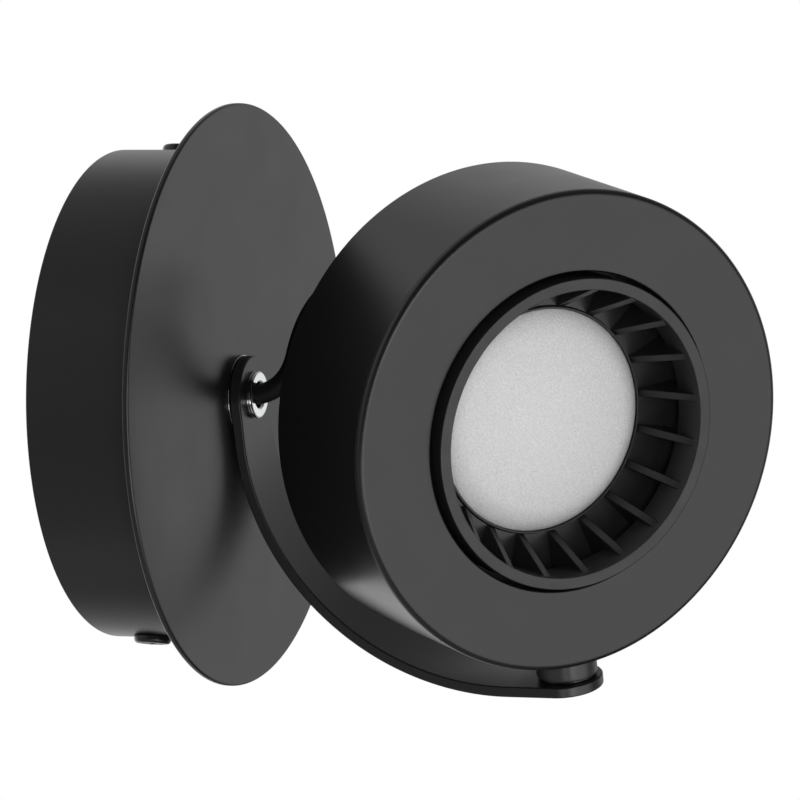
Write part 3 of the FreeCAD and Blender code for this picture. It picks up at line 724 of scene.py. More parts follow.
# The finishes of the parts inside the canopy and the drum, with the nodes that they dress.
INNER_FINISHES: tuple[tuple[Finish, tuple[str, ...]], ...] = (
    (ZincPlate(), ("wall_bracket", "earth_washer", "terminal_screws", "spring_washer",
                   "lock_nut", "module_screws", "boss_washer", "boss_nut")),
    (BrightMetal("brass", (0.72, 0.50, 0.22), 0.24, 0.1, mark_size=0.25),
     ("earth_screw", "terminal_sleeves")),
    (MouldedPlastic("white_plastic", (0.72, 0.72, 0.69), 0.42, 0.45, 0.4, 0.012, 0.04),
     ("led_driver", "terminal_block", "head_connector")),
    (MouldedPlastic("wire_insulation", (0.07, 0.16, 0.42), 0.38, 0.5, 0.5, 0.01, 0.08),
     ("driver_input_leads",)),
    (MouldedPlastic("earth_insulation", (0.16, 0.36, 0.07), 0.38, 0.5, 0.5, 0.01, 0.08),
     ("earth_lead",)),
    (BLACK_PLASTIC, ("canopy_cable_tie", "drum_cable_tie")),
    (SHEATH, ("lead_in_head",)),
    (MouldedPlastic("board_white", (0.76, 0.77, 0.74), 0.35, 0.5, 0.6, 0.006, 0.03),
     ("led_board",)),
    (MouldedPlastic("chip_phosphor", (0.80, 0.62, 0.12), 0.5, 0.4, 0.3, 0.01, 0.1),
     ("led_chips",)),
    (BrightMetal("cast_aluminium", (0.62, 0.63, 0.64), 0.36, 0.12, mark_size=0.3),
     ("heat_sink",)),
)


# ---- pieces -------------------------------------------------------------------------------


@dataclass
class Workshop:
    """Makes scene objects of surfaces, and keeps one material for each finish."""

    frame: dict
    made: dict[str, bpy.types.Material] = field(default_factory=dict)

    def finish(self, finish: Finish) -> bpy.types.Material:
        """The material of a finish, made once.

        Args:
            finish: the finish.

        Returns:
            Its material.
        """
        if finish.name not in self.made:
            self.made[finish.name] = finish.material()
        return self.made[finish.name]

    def piece(self, name: str, surface: Surface, finish: Finish, body: Body | None, slot: str,
              *nodes: str) -> bpy.types.Object:
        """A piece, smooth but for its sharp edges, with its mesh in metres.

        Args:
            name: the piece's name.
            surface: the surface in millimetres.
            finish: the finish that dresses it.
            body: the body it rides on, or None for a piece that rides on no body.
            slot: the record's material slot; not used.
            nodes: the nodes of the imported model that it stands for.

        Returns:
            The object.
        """
        mesh = bpy.data.meshes.new(name)
        faces = surface.quads.tolist() + surface.triangles.tolist()
        mesh.from_pydata((surface.points * MM).tolist(), [], faces)
        mesh.polygons.foreach_set("use_smooth", np.ones(len(faces), bool))
        mesh.set_sharp_from_angle(angle=math.radians(SHARP_DEGREES))
        mesh.materials.append(self.finish(finish))
        piece = bpy.data.objects.new(name, mesh)
        bpy.context.scene.collection.objects.link(piece)
        if body:
            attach(piece, body.value)
        if nodes:
            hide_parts(*nodes)
        LOG.info("%s: %d faces of %s", name, len(faces), finish.name)
        return piece

    def dress(self, finish: Finish, *nodes: str) -> None:
        """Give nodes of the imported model, whose shapes are right, a finish.

        Args:
            finish: the finish that dresses them.
            nodes: the nodes' names.
        """
        for node in nodes:
            materials = self.frame["nodes"][node].data.materials
            materials.clear()
            materials.append(self.finish(finish))
        LOG.info("%s: %s", finish.name, ", ".join(nodes))


def round_edges(piece: bpy.types.Object, width: float, segments: int, degrees: float) -> None:
    """Round a piece's edges with a bevel that stays live.

    Args:
        piece: the piece.
        width: the bevel's width in millimetres.
        segments: the number of its steps.
        degrees: edges that turn by more than this are rounded.
    """
    soften = piece.modifiers.new("edge round", "BEVEL")
    soften.width = width * MM
    soften.segments = segments
    soften.limit_method = "ANGLE"
    soften.angle_limit = math.radians(degrees)
    soften.harden_normals = True


@dataclass
class Screw:
    """A screw with a low domed head, along +Z with the head's underside at the origin."""

    shank: float
    length: float
    head_radius: float
    head_thick: float
    edge_round: float
    recess: Recess
    recess_reach: float
    recess_depth: float
    recess_width: float
    recess_soft: float = 0.09
    dome: float = 0.12
    head_edge: float = 0.05
    neck_round: float = 0.02
    tip: float = 0.2
    crown_rows: int = 40
    edge_rows: int = 10
    segments: int = 144

    def bar(self, across: Array, along: Array) -> Array:
        """One bar of the recess: smooth steps down at half its width and at its reach.

        Args:
            across: places across the bar.
            along: places along it.

        Returns:
            The bar's share of the recess's depth, from 0 to 1.
        """
        soft = self.recess_soft
        side = self.recess_width / 2 + soft - np.abs(across)
        end = self.recess_reach - np.abs(along)
        return smooth_step(side / (2 * soft)) * smooth_step(end / (3 * soft))

    def sunk(self, x: Array, y: Array) -> Array:
        """How deep the recess is at places on the head; a cross is the deeper of two bars.

        Args:
            x: places across the head.
            y: places along the head.

        Returns:
            Depths from 0 to the recess's depth.
        """
        deep = self.bar(y, x)
        if self.recess is Recess.CROSS:
            deep = np.maximum(deep, self.bar(x, y))
        return self.recess_depth * deep

    def surface(self) -> Surface:
        """The head as a profile spun about Z, its top lowered by the recess, and the shank.

        The dome's height falls with the square of the radius, and its edge is a quarter round.

        Returns:
            The closed surface.
        """
        head, shank, foot = self.head_radius, self.shank, -self.length
        radius = np.linspace(0, head - self.edge_round, self.crown_rows)
        dome = self.dome * (1 - (radius / head) ** 2)
        top = np.stack([radius, self.head_thick - self.dome + dome], axis=1)
        inside, below = quarter_round(self.edge_round, self.edge_rows)
        side = np.stack([head - inside, top[-1, 1] - below], axis=1)[1:]
        under = np.array([[head, self.head_edge], [head - self.head_edge, 0.0],
                          [shank + self.neck_round, 0.0], [shank, -self.neck_round],
                          [shank, foot + self.tip], [shank - self.tip, foot], [0.0, foot]])
        outline = np.concatenate([top, side, under])
        turn = round_angles(self.segments)
        x, y = outline[:, :1] * np.cos(turn), outline[:, :1] * np.sin(turn)
        z = np.broadcast_to(outline[:, 1:], x.shape).copy()
        crown = slice(self.crown_rows)
        z[crown] -= self.sunk(x[crown], y[crown])
        return grid_surface(np.stack([x, y, z], axis=2))


@dataclass
class Canopy:
    """The round cup on the wall with its front disc and its two side screws."""

    shop: Workshop
    cup_radius: float = 42.2
    cup_wall: float = 1.0
    disc_radius: float = 50.2
    disc_thick: float = 1.1
    disc_front: float = 22.0
    edge_round: float = 0.35
    bolt_hole: float = 3.1
    fixing_turn: float = 25.2
    recess_turns: tuple[float, float] = (20.0, 55.0)
    screw_off_wall: float = 7.9

    def cup(self) -> None:
        """The cup, open towards the wall."""
        front = self.disc_front - self.disc_thick
        inner, floor = self.cup_radius - self.cup_wall, self.cup_wall - front
        corners = [(self.bolt_hole, -front), (self.cup_radius, -front), (self.cup_radius, 0.0),
                   (inner, 0.0), (inner, floor), (self.bolt_hole, floor)]
        surface = turned(corners, [0, 0.15, 0.18, 0.15, 1.2, 0], 240)
        self.shop.piece("cup", surface, COAT, Body.CANOPY, "satin_black", "canopy_cup")

    def disc(self) -> None:
        """The thin flange disc on the cup's front, its rim rounded on both sides."""
        corners = band(self.bolt_hole, self.disc_radius, self.disc_thick - self.disc_front,
                       -self.disc_front)
        surface = turned(corners, [0, self.edge_round, self.edge_round, 0.1], 288)
        self.shop.piece("disc", surface, COAT, Body.CANOPY, "satin_black", "front_disc")

    def side_screws(self) -> None:
        """The two pan-head screws through opposite sides of the cup."""
        screw = Screw(shank=1.5, length=7.0, head_radius=3.2, head_thick=1.3, edge_round=0.7,
                      recess=Recess.CROSS, recess_reach=1.9, recess_depth=0.7, recess_width=0.7)
        lift = shift_matrix(0, 0, self.cup_radius)
        out = shift_matrix(0, -self.screw_off_wall, 0)
        places = [out @ turn_matrix(Y_AXIS, self.fixing_turn + side) @ lift
                  @ turn_matrix(Z_AXIS, recess_turn)
                  for side, recess_turn in zip((0, 180), self.recess_turns)]
        self.shop.piece("side_screws", screw.surface().repeated(np.stack(places)), BLACK_SCREW,
                        Body.CANOPY, "black_screw", "canopy_screws")

    def build(self) -> None:
        """Build and dress the canopy."""
        self.cup()
        self.disc()
        self.side_screws()


@dataclass
class Swivel:
    """The bright hollow bolt that the arm turns on, and the ring behind the arm."""

    shop: Workshop
    bore: float = 2.2
    shank: float = 3.0
    flange: float = 4.1
    flange_back: float = 24.28
    flange_front: float = 25.3
    collar: float = 0.3
    groove_deep: float = 0.22
    groove_half: float = 0.06
    rear: float = 14.5
    ring_radius: float = 6.9
    ring_gap: float = 0.05
    ring_back: float = 22.0
    ring_front: float = 22.3

    def bolt(self) -> None:
        """The bolt, drilled through for the lead, its flange rounded and parted by a groove."""
        back, front = -self.flange_back, -self.flange_front
        step = back - self.collar
        corners = [(self.bore, -self.rear), (self.shank, -self.rear), (self.shank, back),
                   (self.flange, back), (self.flange, step),
                   (self.flange - self.groove_deep, step - self.groove_half),
                   (self.flange, step - 2 * self.groove_half), (self.flange, front),
                   (self.bore, front)]
        radii = [0.2, 0.2, 0.0, 0.08, 0.06, 0.02, 0.06, 0.4, 0.45]
        self.shop.piece("swivel_bolt", turned(corners, radii, 128, steps=8, margin=0.03), CHROME,
                        Body.CANOPY, "bright_chrome", "hollow_bolt")

    def ring(self) -> None:
        """The flat ring between the disc and the arm."""
        corners = band(self.shank + self.ring_gap, self.ring_radius, -self.ring_back,
                       -self.ring_front)
        # Its chrome is darkened as painted shade.
        self.shop.piece("swivel_ring", turned(corners, [0, 0.08, 0.14, 0.05], 160, margin=0.05),
                        SHADED_RING_CHROME, Body.CANOPY, "bright_chrome", "ring_washer")

    def build(self) -> None:
        """Build and dress the swivel."""
        self.bolt()
        self.ring()


@dataclass
class Arm:
    """The flat strip: a tab on the bolt, a quarter circle, and a level tab under the drum."""

    shop: Workshop
    thick: float = 1.9
    width: float = 13.4
    back: float = 22.35
    arc_start: float = 6.7
    arc_inner: float = 43.3
    low_tab_short: float = 0.6
    pivot_off_wall: float = 76.4
    bolt_hole: float = 3.05
    pivot_hole: float = 2.05
    edge_round: float = 0.28
    across: int = 16
    cap_steps: int = 65
    side_steps: int = 9
    ring_steps: int = 10
    arc_steps: int = 130

    def arc_radius(self) -> float:
        """The radius of the arc's middle line."""
        return self.arc_inner + self.thick / 2

    def arc_centre(self) -> float:
        """How far the arc's centre lies from the wall."""
        return self.back + self.thick + self.arc_inner

    def middle_path(self, run: Array) -> Array:
        """The middle line of the strip's thickness.

        The line drops straight down, turns through a quarter circle, then runs level outwards.

        Args:
            run: distances along the line from the bolt's axis, downwards positive.

        Returns:
            Points in the plane X = 0, as (n, 3).
        """
        radius = self.arc_radius()
        angle = np.clip((run - self.arc_start) / radius, 0, math.pi / 2)
        level = np.maximum(run - self.arc_start - radius * math.pi / 2, 0)
        y = -self.arc_centre() + radius * np.cos(angle) - level
        z = -np.minimum(run, self.arc_start) - radius * np.sin(angle)
        return np.stack([np.zeros_like(y), y, z], axis=-1)

    def end_patch(self, hole: float, reach: float, short: float = 0.0) -> Array:
        """A flat tab with a hole: rings from the hole out to a half round with a square side.

        Args:
            hole: the hole's radius.
            reach: how far the square side lies from the hole's centre.
            short: how far the half round's centre lies from the hole's, towards the square side.

        Returns:
            A grid of (rings, places round, 2) with the round end towards negative x.
        """
        half = self.width / 2
        cap = np.linspace(math.pi / 2, 3 * math.pi / 2, self.cap_steps)
        side = np.linspace(short, reach, self.side_steps)[1:]
        cut = np.linspace(-half, half, self.across + 1)[1:]
        back = side[::-1][1:]
        outer = np.concatenate([
            half * np.stack([np.cos(cap), np.sin(cap)], axis=1) + np.array([short, 0.0]),
            np.stack([side, np.full_like(side, -half)], axis=1),
            np.stack([np.full_like(cut, reach), cut], axis=1),
            np.stack([back, np.full_like(back, half)], axis=1),
        ])
        share = np.linspace(0, 1, self.ring_steps)[:, None, None]
        return hole * unit(outer) * (1 - share) + outer * share

    def flat_pattern(self) -> tuple[Array, Array]:
        """The strip's flat pattern: two holed tabs with a plain grid between them.

        Returns:
            Points as (run, across), and the faces.
        """
        half = self.width / 2
        total = (self.arc_start + self.arc_radius() * math.pi / 2
                 + self.pivot_off_wall - self.arc_centre())
        low_reach = half + self.low_tab_short
        upper = self.end_patch(self.bolt_hole, self.arc_start)
        lower = np.array([total, 0.0]) - self.end_patch(self.pivot_hole, low_reach,
                                                        self.low_tab_short)
        along = np.linspace(self.arc_start, total - low_reach, self.arc_steps)
        over = np.linspace(-half, half, self.across + 1)
        body = np.stack(np.meshgrid(along, over, indexing="ij"), axis=2)
        rings, count = upper.shape[:2]
        ends = grid_quads(np.arange(rings * count).reshape(rings, count))
        middle = grid_quads(np.arange(body.size // 2).reshape(body.shape[:2]), wrap_columns=False)
        faces = np.concatenate([ends, ends + rings * count, middle + 2 * rings * count])
        points = np.concatenate([part.reshape(-1, 2) for part in (upper, lower, body)])
        merged, index = np.unique(np.round(points, 5), axis=0, return_inverse=True)
        faces = index.reshape(-1)[faces]
        corner = merged[faces]
        turn = np.cross(corner[:, 1] - corner[:, 0], corner[:, 3] - corner[:, 0])
        return merged, np.where(turn[:, None] > 0, faces, faces[:, ::-1])

    def build(self) -> None:
        """The strip: its flat pattern bent along the middle line, thickened and edge-rounded."""
        flat, faces = self.flat_pattern()
        points = self.middle_path(flat[:, 0])
        points[:, 0] = flat[:, 1]
        piece = self.shop.piece("arm_band", Surface(points, faces), COAT, Body.ARM, "satin_black",
                                "arm_strip")
        thicken = piece.modifiers.new("thickness", "SOLIDIFY")
        thicken.thickness = self.thick * MM
        thicken.offset = 0.0
        round_edges(piece, self.edge_round, segments=4, degrees=50.0)


@dataclass
class Lead:
    """The head's black flex: free from the hollow bolt to the grommet behind the drum."""

    shop: Workshop
    radius: float = 1.75
    free_length: float = 80.0
    route: tuple[Triple, ...] = (
        (0.0, -0.020, 0.0),
        (-0.0006, -0.0301, -0.0011),
        (0.0002, -0.0357, 0.0161),
        (0.0143, -0.0412, 0.0187),
        (0.0260, -0.0450, 0.0096),
        (0.02026, -0.05138, -0.004),
        (0.01208, -0.06148, -0.004),
    )
    inner_route: tuple[Triple, ...] = (
        (0.0, -0.020, 0.0),
        (0.0, -0.0062, 0.0),
        (0.012, -0.0062, 0.0),
        (0.012, -0.0062, 0.0095),
    )

    def spline_points(self, name: str, route: tuple[Triple, ...]) -> Array:
        """Points of the smooth NURBS line whose control points are a route's points.

        Args:
            name: a name for the helper curve, which is removed again.
            route: the control points in metres.

        Returns:
            The line's points in millimetres.
        """
        data = bpy.data.curves.new(name, "CURVE")
        data.dimensions = "3D"
        spline = data.splines.new("NURBS")
        spline.points.add(len(route) - 1)
        weighted = np.concatenate([np.array(route), np.ones((len(route), 1))], axis=1)
        spline.points.foreach_set("co", weighted.ravel())
        spline.order_u = 3
        spline.use_endpoint_u = True
        spline.resolution_u = 24
        helper = bpy.data.objects.new(name, data)
        bpy.context.scene.collection.objects.link(helper)
        line = bpy.data.meshes.new_from_object(helper)
        points = np.zeros(len(line.vertices) * 3)
        line.vertices.foreach_get("co", points)
        bpy.data.objects.remove(helper)
        bpy.data.curves.remove(data)
        bpy.data.meshes.remove(line)
        return points.reshape(-1, 3) / MM

    def free_run(self) -> None:
        """The stretch between the bolt and the drum, a fixed tube on no body; the real lead bends
        there as the head turns.
        """
        path = self.spline_points("free_route", self.route)
        surface = tube_surface(path, self.radius, (-0.7, -0.3, 0.65), sides=48)
        piece = self.shop.piece("lead_free", surface, SHEATH, None, "black_lead", "head_lead")
        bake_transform(piece)

    def inner_run(self) -> None:
        """The stretch inside the canopy, from the bolt's bore to the driver."""
        path = self.spline_points("inner_route", self.inner_route)
        surface = tube_surface(path, self.radius, (0.5, 0.4, -0.77), sides=40)
        self.shop.piece("lead_inner", surface, SHEATH, Body.CANOPY, "black_lead",
                        "lead_in_canopy")

    def build(self) -> None:
        """Build and dress the lead."""
        self.free_run()
        self.inner_run()


@dataclass(frozen=True)
class HeadLayout:
    """Where the head is at rest, and the sizes that its sub-assemblies share."""

    pivot_off_wall: float = 76.4
    face_ahead: float = 9.3
    centre_z: float = -4.0
    rest_turn: float = -39.0
    drum_radius: float = 41.5
    drum_depth: float = 27.3
    drum_wall: float = 1.2
    floor_depth: float = 10.0
    post_circle: float = 32.5
    post_angles: Triple = (90.0, 210.0, 330.0)

    def turn(self) -> Array:
        """The turn of the head about its upright pivot, from straight ahead to rest."""
        return turn_matrix(Z_AXIS, self.rest_turn, (0, -self.pivot_off_wall, 0))

    def pivot(self) -> Array:
        """The matrix from places round the pivot's axis to the head at rest."""
        return self.turn() @ shift_matrix(0, -self.pivot_off_wall, 0)

    def face(self) -> Array:
        """The matrix from face coordinates (right, depth behind the face, up) to the rest."""
        off_wall = self.pivot_off_wall + self.face_ahead
        return self.turn() @ shift_matrix(0, -off_wall, self.centre_z)

    def posts(self) -> Array:
        """The matrices of the three screw posts, evenly round the drum's axis."""
        x, z = (self.post_circle * way(np.radians(self.post_angles)) for way in (np.cos, np.sin))
        return np.stack([self.face() @ shift_matrix(right, 0, up) for right, up in zip(x, z)])


@dataclass
class Drum:
    """The drum with its closed back, and its face plate."""

    shop: Workshop
    layout: HeadLayout
    grommet_hole: float = 3.6
    rear_round: float = 0.6
    front_round: float = 0.1
    face_thick: float = 1.2
    face_round: float = 1.1
    face_hole: float = 27.6
    groove: float = 0.05
    spigot: float = 40.25
    spigot_wall: float = 1.3
    spigot_end: float = 3.8
    post_radius: float = 2.8
    post_bore: float = 1.25
    post_bore_end: float = 3.0

    def shell(self) -> None:
        """The closed-back drum, with a hole for the grommet."""
        radius, back, wall = self.layout.drum_radius, self.layout.drum_depth, self.layout.drum_wall
        front, hole = self.face_thick + self.groove, self.grommet_hole
        corners = [(hole, back), (radius, back), (radius, front), (radius - wall, front),
                   (radius - wall, back - wall), (hole, back - wall)]
        surface = turned(corners, [0.3, self.rear_round, self.front_round, 0.1, 0.6, 0], 320,
                         steps=10)
        self.shop.piece("drum", surface.placed(self.layout.face()), COAT, Body.HEAD,
                        "satin_black", "drum_shell")

    def face(self) -> None:
        """The flat front ring with its spigot and three screw posts."""
        thick, hole, rim = self.face_thick, self.face_hole, self.layout.drum_radius
        outer, inner, end = self.spigot, self.spigot - self.spigot_wall, self.spigot_end
        corners = [(hole, 0), (rim, 0), (rim, thick), (outer, thick), (outer, end), (inner, end),
                   (inner, thick), (hole, thick)]
        radii = [0.35, self.face_round, 0.04, 0, 0.1, 0.1, 0, 0.1]
        plate = turned(corners, radii, 320, steps=10).placed(self.layout.face())
        middle, foot = thick / 2, self.layout.floor_depth
        corners = [(0, middle), (self.post_radius, middle), (self.post_radius, foot),
                   (self.post_bore, foot), (self.post_bore, self.post_bore_end),
                   (0, self.post_bore_end)]
        posts = turned(corners, [0, 0, 0.2, 0.1, 0, 0], 48, closed=False)
        self.shop.piece("face_ring", joined([plate, posts.repeated(self.layout.posts())]), COAT,
                        Body.HEAD, "satin_black", "face_plate")

    def build(self) -> None:
        """Build and dress the drum."""
        self.shell()
        self.face()


@dataclass
class LightModule:
    """The moulded ring with its fins and floor, the frosted dome and the dark trim round it."""

    shop: Workshop
    layout: HeadLayout
    ring_outer: float = 26.85
    ring_inner: float = 24.8
    ring_proud: float = 1.9
    ring_end: float = 5.0
    floor_thick: float = 1.5
    floor_radius: float = 35.8
    collar_bore: float = 1.5
    collar_radius: float = 3.2
    collar_end: float = 14.1
    fin_count: int = 20
    fin_thick: float = 1.4
    fin_front: float = -1.4
    fin_inner: float = 19.8
    fin_round: float = 0.22
    fin_sunk: float = 0.2
    fin_toe: float = 0.3
    fin_set_back: float = 0.1
    fin_set_out: float = 0.4
    lens_radius: float = 19.3
    lens_shell: float = 1.4
    lens_foot: float = 12.5
    lens_cap: float = 80.0
    lens_reach: float = 15.0
    lens_slope: float = 55.0
    trim_gap: float = 0.05
    trim_proud: float = 0.5

    def fin(self) -> Surface:
        """One upright fin as a prism: its outline in radius and depth, drawn out to its thickness.

        Returns:
            The closed surface.
        """
        deep, toe = self.layout.floor_depth + self.fin_sunk, self.layout.floor_depth - self.fin_toe
        outer = self.ring_outer - self.fin_set_back
        outline = np.array([(self.fin_inner, deep), (self.fin_inner, toe),
                            (self.ring_inner + self.fin_set_out, self.fin_front),
                            (outer, self.fin_front), (outer, deep)])
        count = len(outline)
        sides = np.array([-0.5, 0.5]) * self.fin_thick
        points = np.concatenate([np.insert(outline, 2, side, axis=1) for side in sides])
        walls = grid_quads(np.arange(2 * count).reshape(2, count))
        caps = np.array([[0, 1, 2, 4], [0, 4, 2, 1]]) + np.array([[count], [0]])
        tips = np.array([[2, 3, 4], [4, 3, 2]]) + np.array([[count], [0]])
        return Surface(points, np.concatenate([walls, caps]), tips).outward()

    def shell(self) -> None:
        """The ring and the floor, with a collar behind each of the three posts."""
        floor, end = self.layout.floor_depth, self.layout.floor_depth + self.floor_thick
        ring = turned(band(self.ring_inner, self.ring_outer, -self.ring_proud, self.ring_end),
                      [0.15, 0.2, 0.1, 0.2], 288)
        plate = turned(band(self.fin_inner, self.floor_radius, floor, end),
                       [0.15, 0.1, 0.1, 0.1], 288)
        collar = turned(band(self.collar_bore, self.collar_radius, end, self.collar_end),
                        [0, 0, 0.1, 0.1], 48)
        place = self.layout.face()
        shells = joined([ring.placed(place), plate.placed(place),
                         collar.repeated(self.layout.posts())])
        self.shop.piece("module_shell", shells, MODULE_PLASTIC, Body.HEAD, "module_plastic",
                        "module_frame")

    def fins(self) -> None:
        """The fins, evenly round the drum's axis."""
        turns = np.stack([self.layout.face() @ turn_matrix(Y_AXIS, 360.0 * count / self.fin_count)
                          for count in range(self.fin_count)])
        fins = self.shop.piece("cooling_fins", self.fin().repeated(turns), MODULE_PLASTIC,
                               Body.HEAD, "module_plastic")
        round_edges(fins, self.fin_round, segments=3, degrees=30.0)

    def dome(self, offset: float) -> Array:
        """The diffuser's dome as (radius, depth), from its top to its edge.

        A wide arc about a centre on the axis meets a tight arc that falls to the edge's slope, both
        with their radii less the offset.

        Args:
            offset: how far inside the outer skin the dome lies.

        Returns:
            The points.
        """
        cap, reach, slope = self.lens_cap, self.lens_reach, math.radians(self.lens_slope)
        meet = math.asin(reach / cap)
        tight = (self.lens_radius - reach) / (math.sin(slope) - math.sin(meet))
        tight_centre = np.array([self.lens_radius - tight * math.sin(slope),
                                 self.layout.floor_depth + tight * math.cos(slope)])
        join = tight_centre + tight * np.array([math.sin(meet), -math.cos(meet)])
        wide_centre = np.array([0.0, join[1] + cap * math.cos(meet)])
        wide, edge = np.linspace(0, meet, 40)[:-1, None], np.linspace(meet, slope, 20)[:, None]
        return np.concatenate([
            centre + (radius - offset) * np.concatenate([np.sin(angle), -np.cos(angle)], axis=1)
            for centre, radius, angle in ((wide_centre, cap, wide), (tight_centre, tight, edge))])

    def diffuser(self) -> None:
        """The frosted dome with its straight foot, and the thin dark ring round it."""
        place, foot = self.layout.face(), self.lens_foot
        outer, inner = self.dome(0.0), self.dome(self.lens_shell)
        inner[0, 0] = 0.0
        edge = np.array([[outer[-1, 0], foot], [inner[-1, 0], foot]])
        outline = np.concatenate([outer, edge, inner[::-1]])
        self.shop.piece("diffuser", spun(outline, 224, closed=False).placed(place),
                        FrostedGlass(), Body.HEAD, "frosted_lens", "lens")
        corners = band(self.lens_radius + self.trim_gap, self.fin_inner - self.trim_gap,
                       self.layout.floor_depth - self.trim_proud, foot)
        ring = turned(corners, [0.08, 0.12, 0, 0], 224, margin=0.03)
        self.shop.piece("diffuser_ring", ring.placed(place), BLACK_PLASTIC, Body.HEAD,
                        "black_plastic", "lens_ring")

    def build(self) -> None:
        """Build and dress the light module."""
        self.shell()
        self.fins()
        self.diffuser()


@dataclass
class Grommet:
    """The rubber grommet in the drum's back."""

    shop: Workshop
    layout: HeadLayout
    bore: float = 1.8
    neck: float = 3.58
    flange: float = 5.2
    taper: float = 0.5
    step: float = 1.2
    lip: float = 1.0

    def build(self) -> None:
        """Build and dress the grommet: a flange on each side of the drum's back and a neck."""
        back = self.layout.drum_depth
        inside = back - self.layout.drum_wall
        outer, inner = back + self.step, inside - self.lip
        corners = [(self.bore, outer), (self.flange - self.taper, outer), (self.flange, back),
                   (self.neck, back), (self.neck, inside), (self.flange, inside),
                   (self.flange, inner), (self.bore, inner)]
        surface = turned(corners, [0.35, 0.5, 0.1, 0, 0, 0.1, 0.3, 0.2], 96, margin=0.05)
        self.shop.piece("grommet", surface.placed(self.layout.face()), RUBBER, Body.HEAD,
                        "black_rubber", "rear_grommet")


@dataclass
class Pivot:
    """The round boss under the drum with a saddle top, its washer and the screw from below."""

    shop: Workshop
    layout: HeadLayout
    radius: float = 5.3
    bottom: float = -49.55
    low_round: float = 0.25
    saddle_lift: float = 0.15
    stud_radius: float = 3.0
    stud_bottom: float = -44.9
    stud_top: float = -40.7
    washer_bore: float = 2.05
    washer_radius: float = 5.0
    washer_thick: float = 0.4
    screw_seat: float = -51.95
    segments: int = 128

    def boss(self) -> Surface:
        """The boss: rings that widen along its foot, climb its side and close over its top.

        Its top follows the drum: its height is the drum's centre less the root of the drum's
        radius squared less the place across squared.

        Returns:
            The closed surface, upright about the pivot's axis.
        """
        inside, above = quarter_round(self.low_round, 5)
        foot, side, top = 2, 8, 12
        rims = self.radius - inside
        radii = np.concatenate([np.array([0.0, 0.5]) * rims[0], rims, np.full(side, self.radius),
                                np.linspace(self.radius, 0, top)[1:]])
        angle = round_angles(self.segments)
        x, y = radii[:, None] * np.cos(angle), radii[:, None] * np.sin(angle)
        drop = np.sqrt(self.layout.drum_radius ** 2 - x ** 2)
        z = self.layout.centre_z - drop + self.saddle_lift
        z[:foot] = self.bottom
        climb = slice(foot + len(rims), foot + len(rims) + side)
        corner = self.bottom + above
        z[foot:climb.start] = corner[:, None]
        z[climb] = corner[-1] + np.linspace(0, 1, side + 1)[1:, None] * (z[climb] - corner[-1])
        return grid_surface(np.stack([x, y, z], axis=2))

    def build(self) -> None:
        """Build and dress the boss with its stud, the friction washer and the screw."""
        place = self.layout.pivot()
        upright = place @ turn_matrix(X_AXIS, 90)
        stud = turned(band(0, self.stud_radius, self.stud_bottom, self.stud_top), [0, 0, 0.4, 0],
                      64, closed=False)
        self.shop.piece("pivot_collar", joined([self.boss().placed(place), stud.placed(upright)]),
                        BOSS_COAT, Body.HEAD, "satin_black", "pivot_boss")
        washer = turned(band(self.washer_bore, self.washer_radius, self.bottom - self.washer_thick,
                             self.bottom), [0.05, 0.12, 0.12, 0.05], 96, margin=0.03)
        # The washer's zinc is darkened to near black as painted shade.
        self.shop.piece("friction_ring", washer.placed(upright), SHADED_ZINC, Body.HEAD, "zinc",
                        "pivot_washer")
        screw = Screw(shank=2.0, length=8.4, head_radius=3.5, head_thick=1.0, edge_round=0.35,
                      recess=Recess.SLOT, recess_reach=4.0, recess_depth=0.5, recess_width=1.0)
        under = place @ shift_matrix(0, 0, self.screw_seat) @ turn_matrix(X_AXIS, 180)
        self.shop.piece("pivot_fixing", screw.surface().placed(under), BLACK_SCREW, Body.HEAD,
                        "black_screw", "pivot_screw")


# ---- studio -------------------------------------------------------------------------------


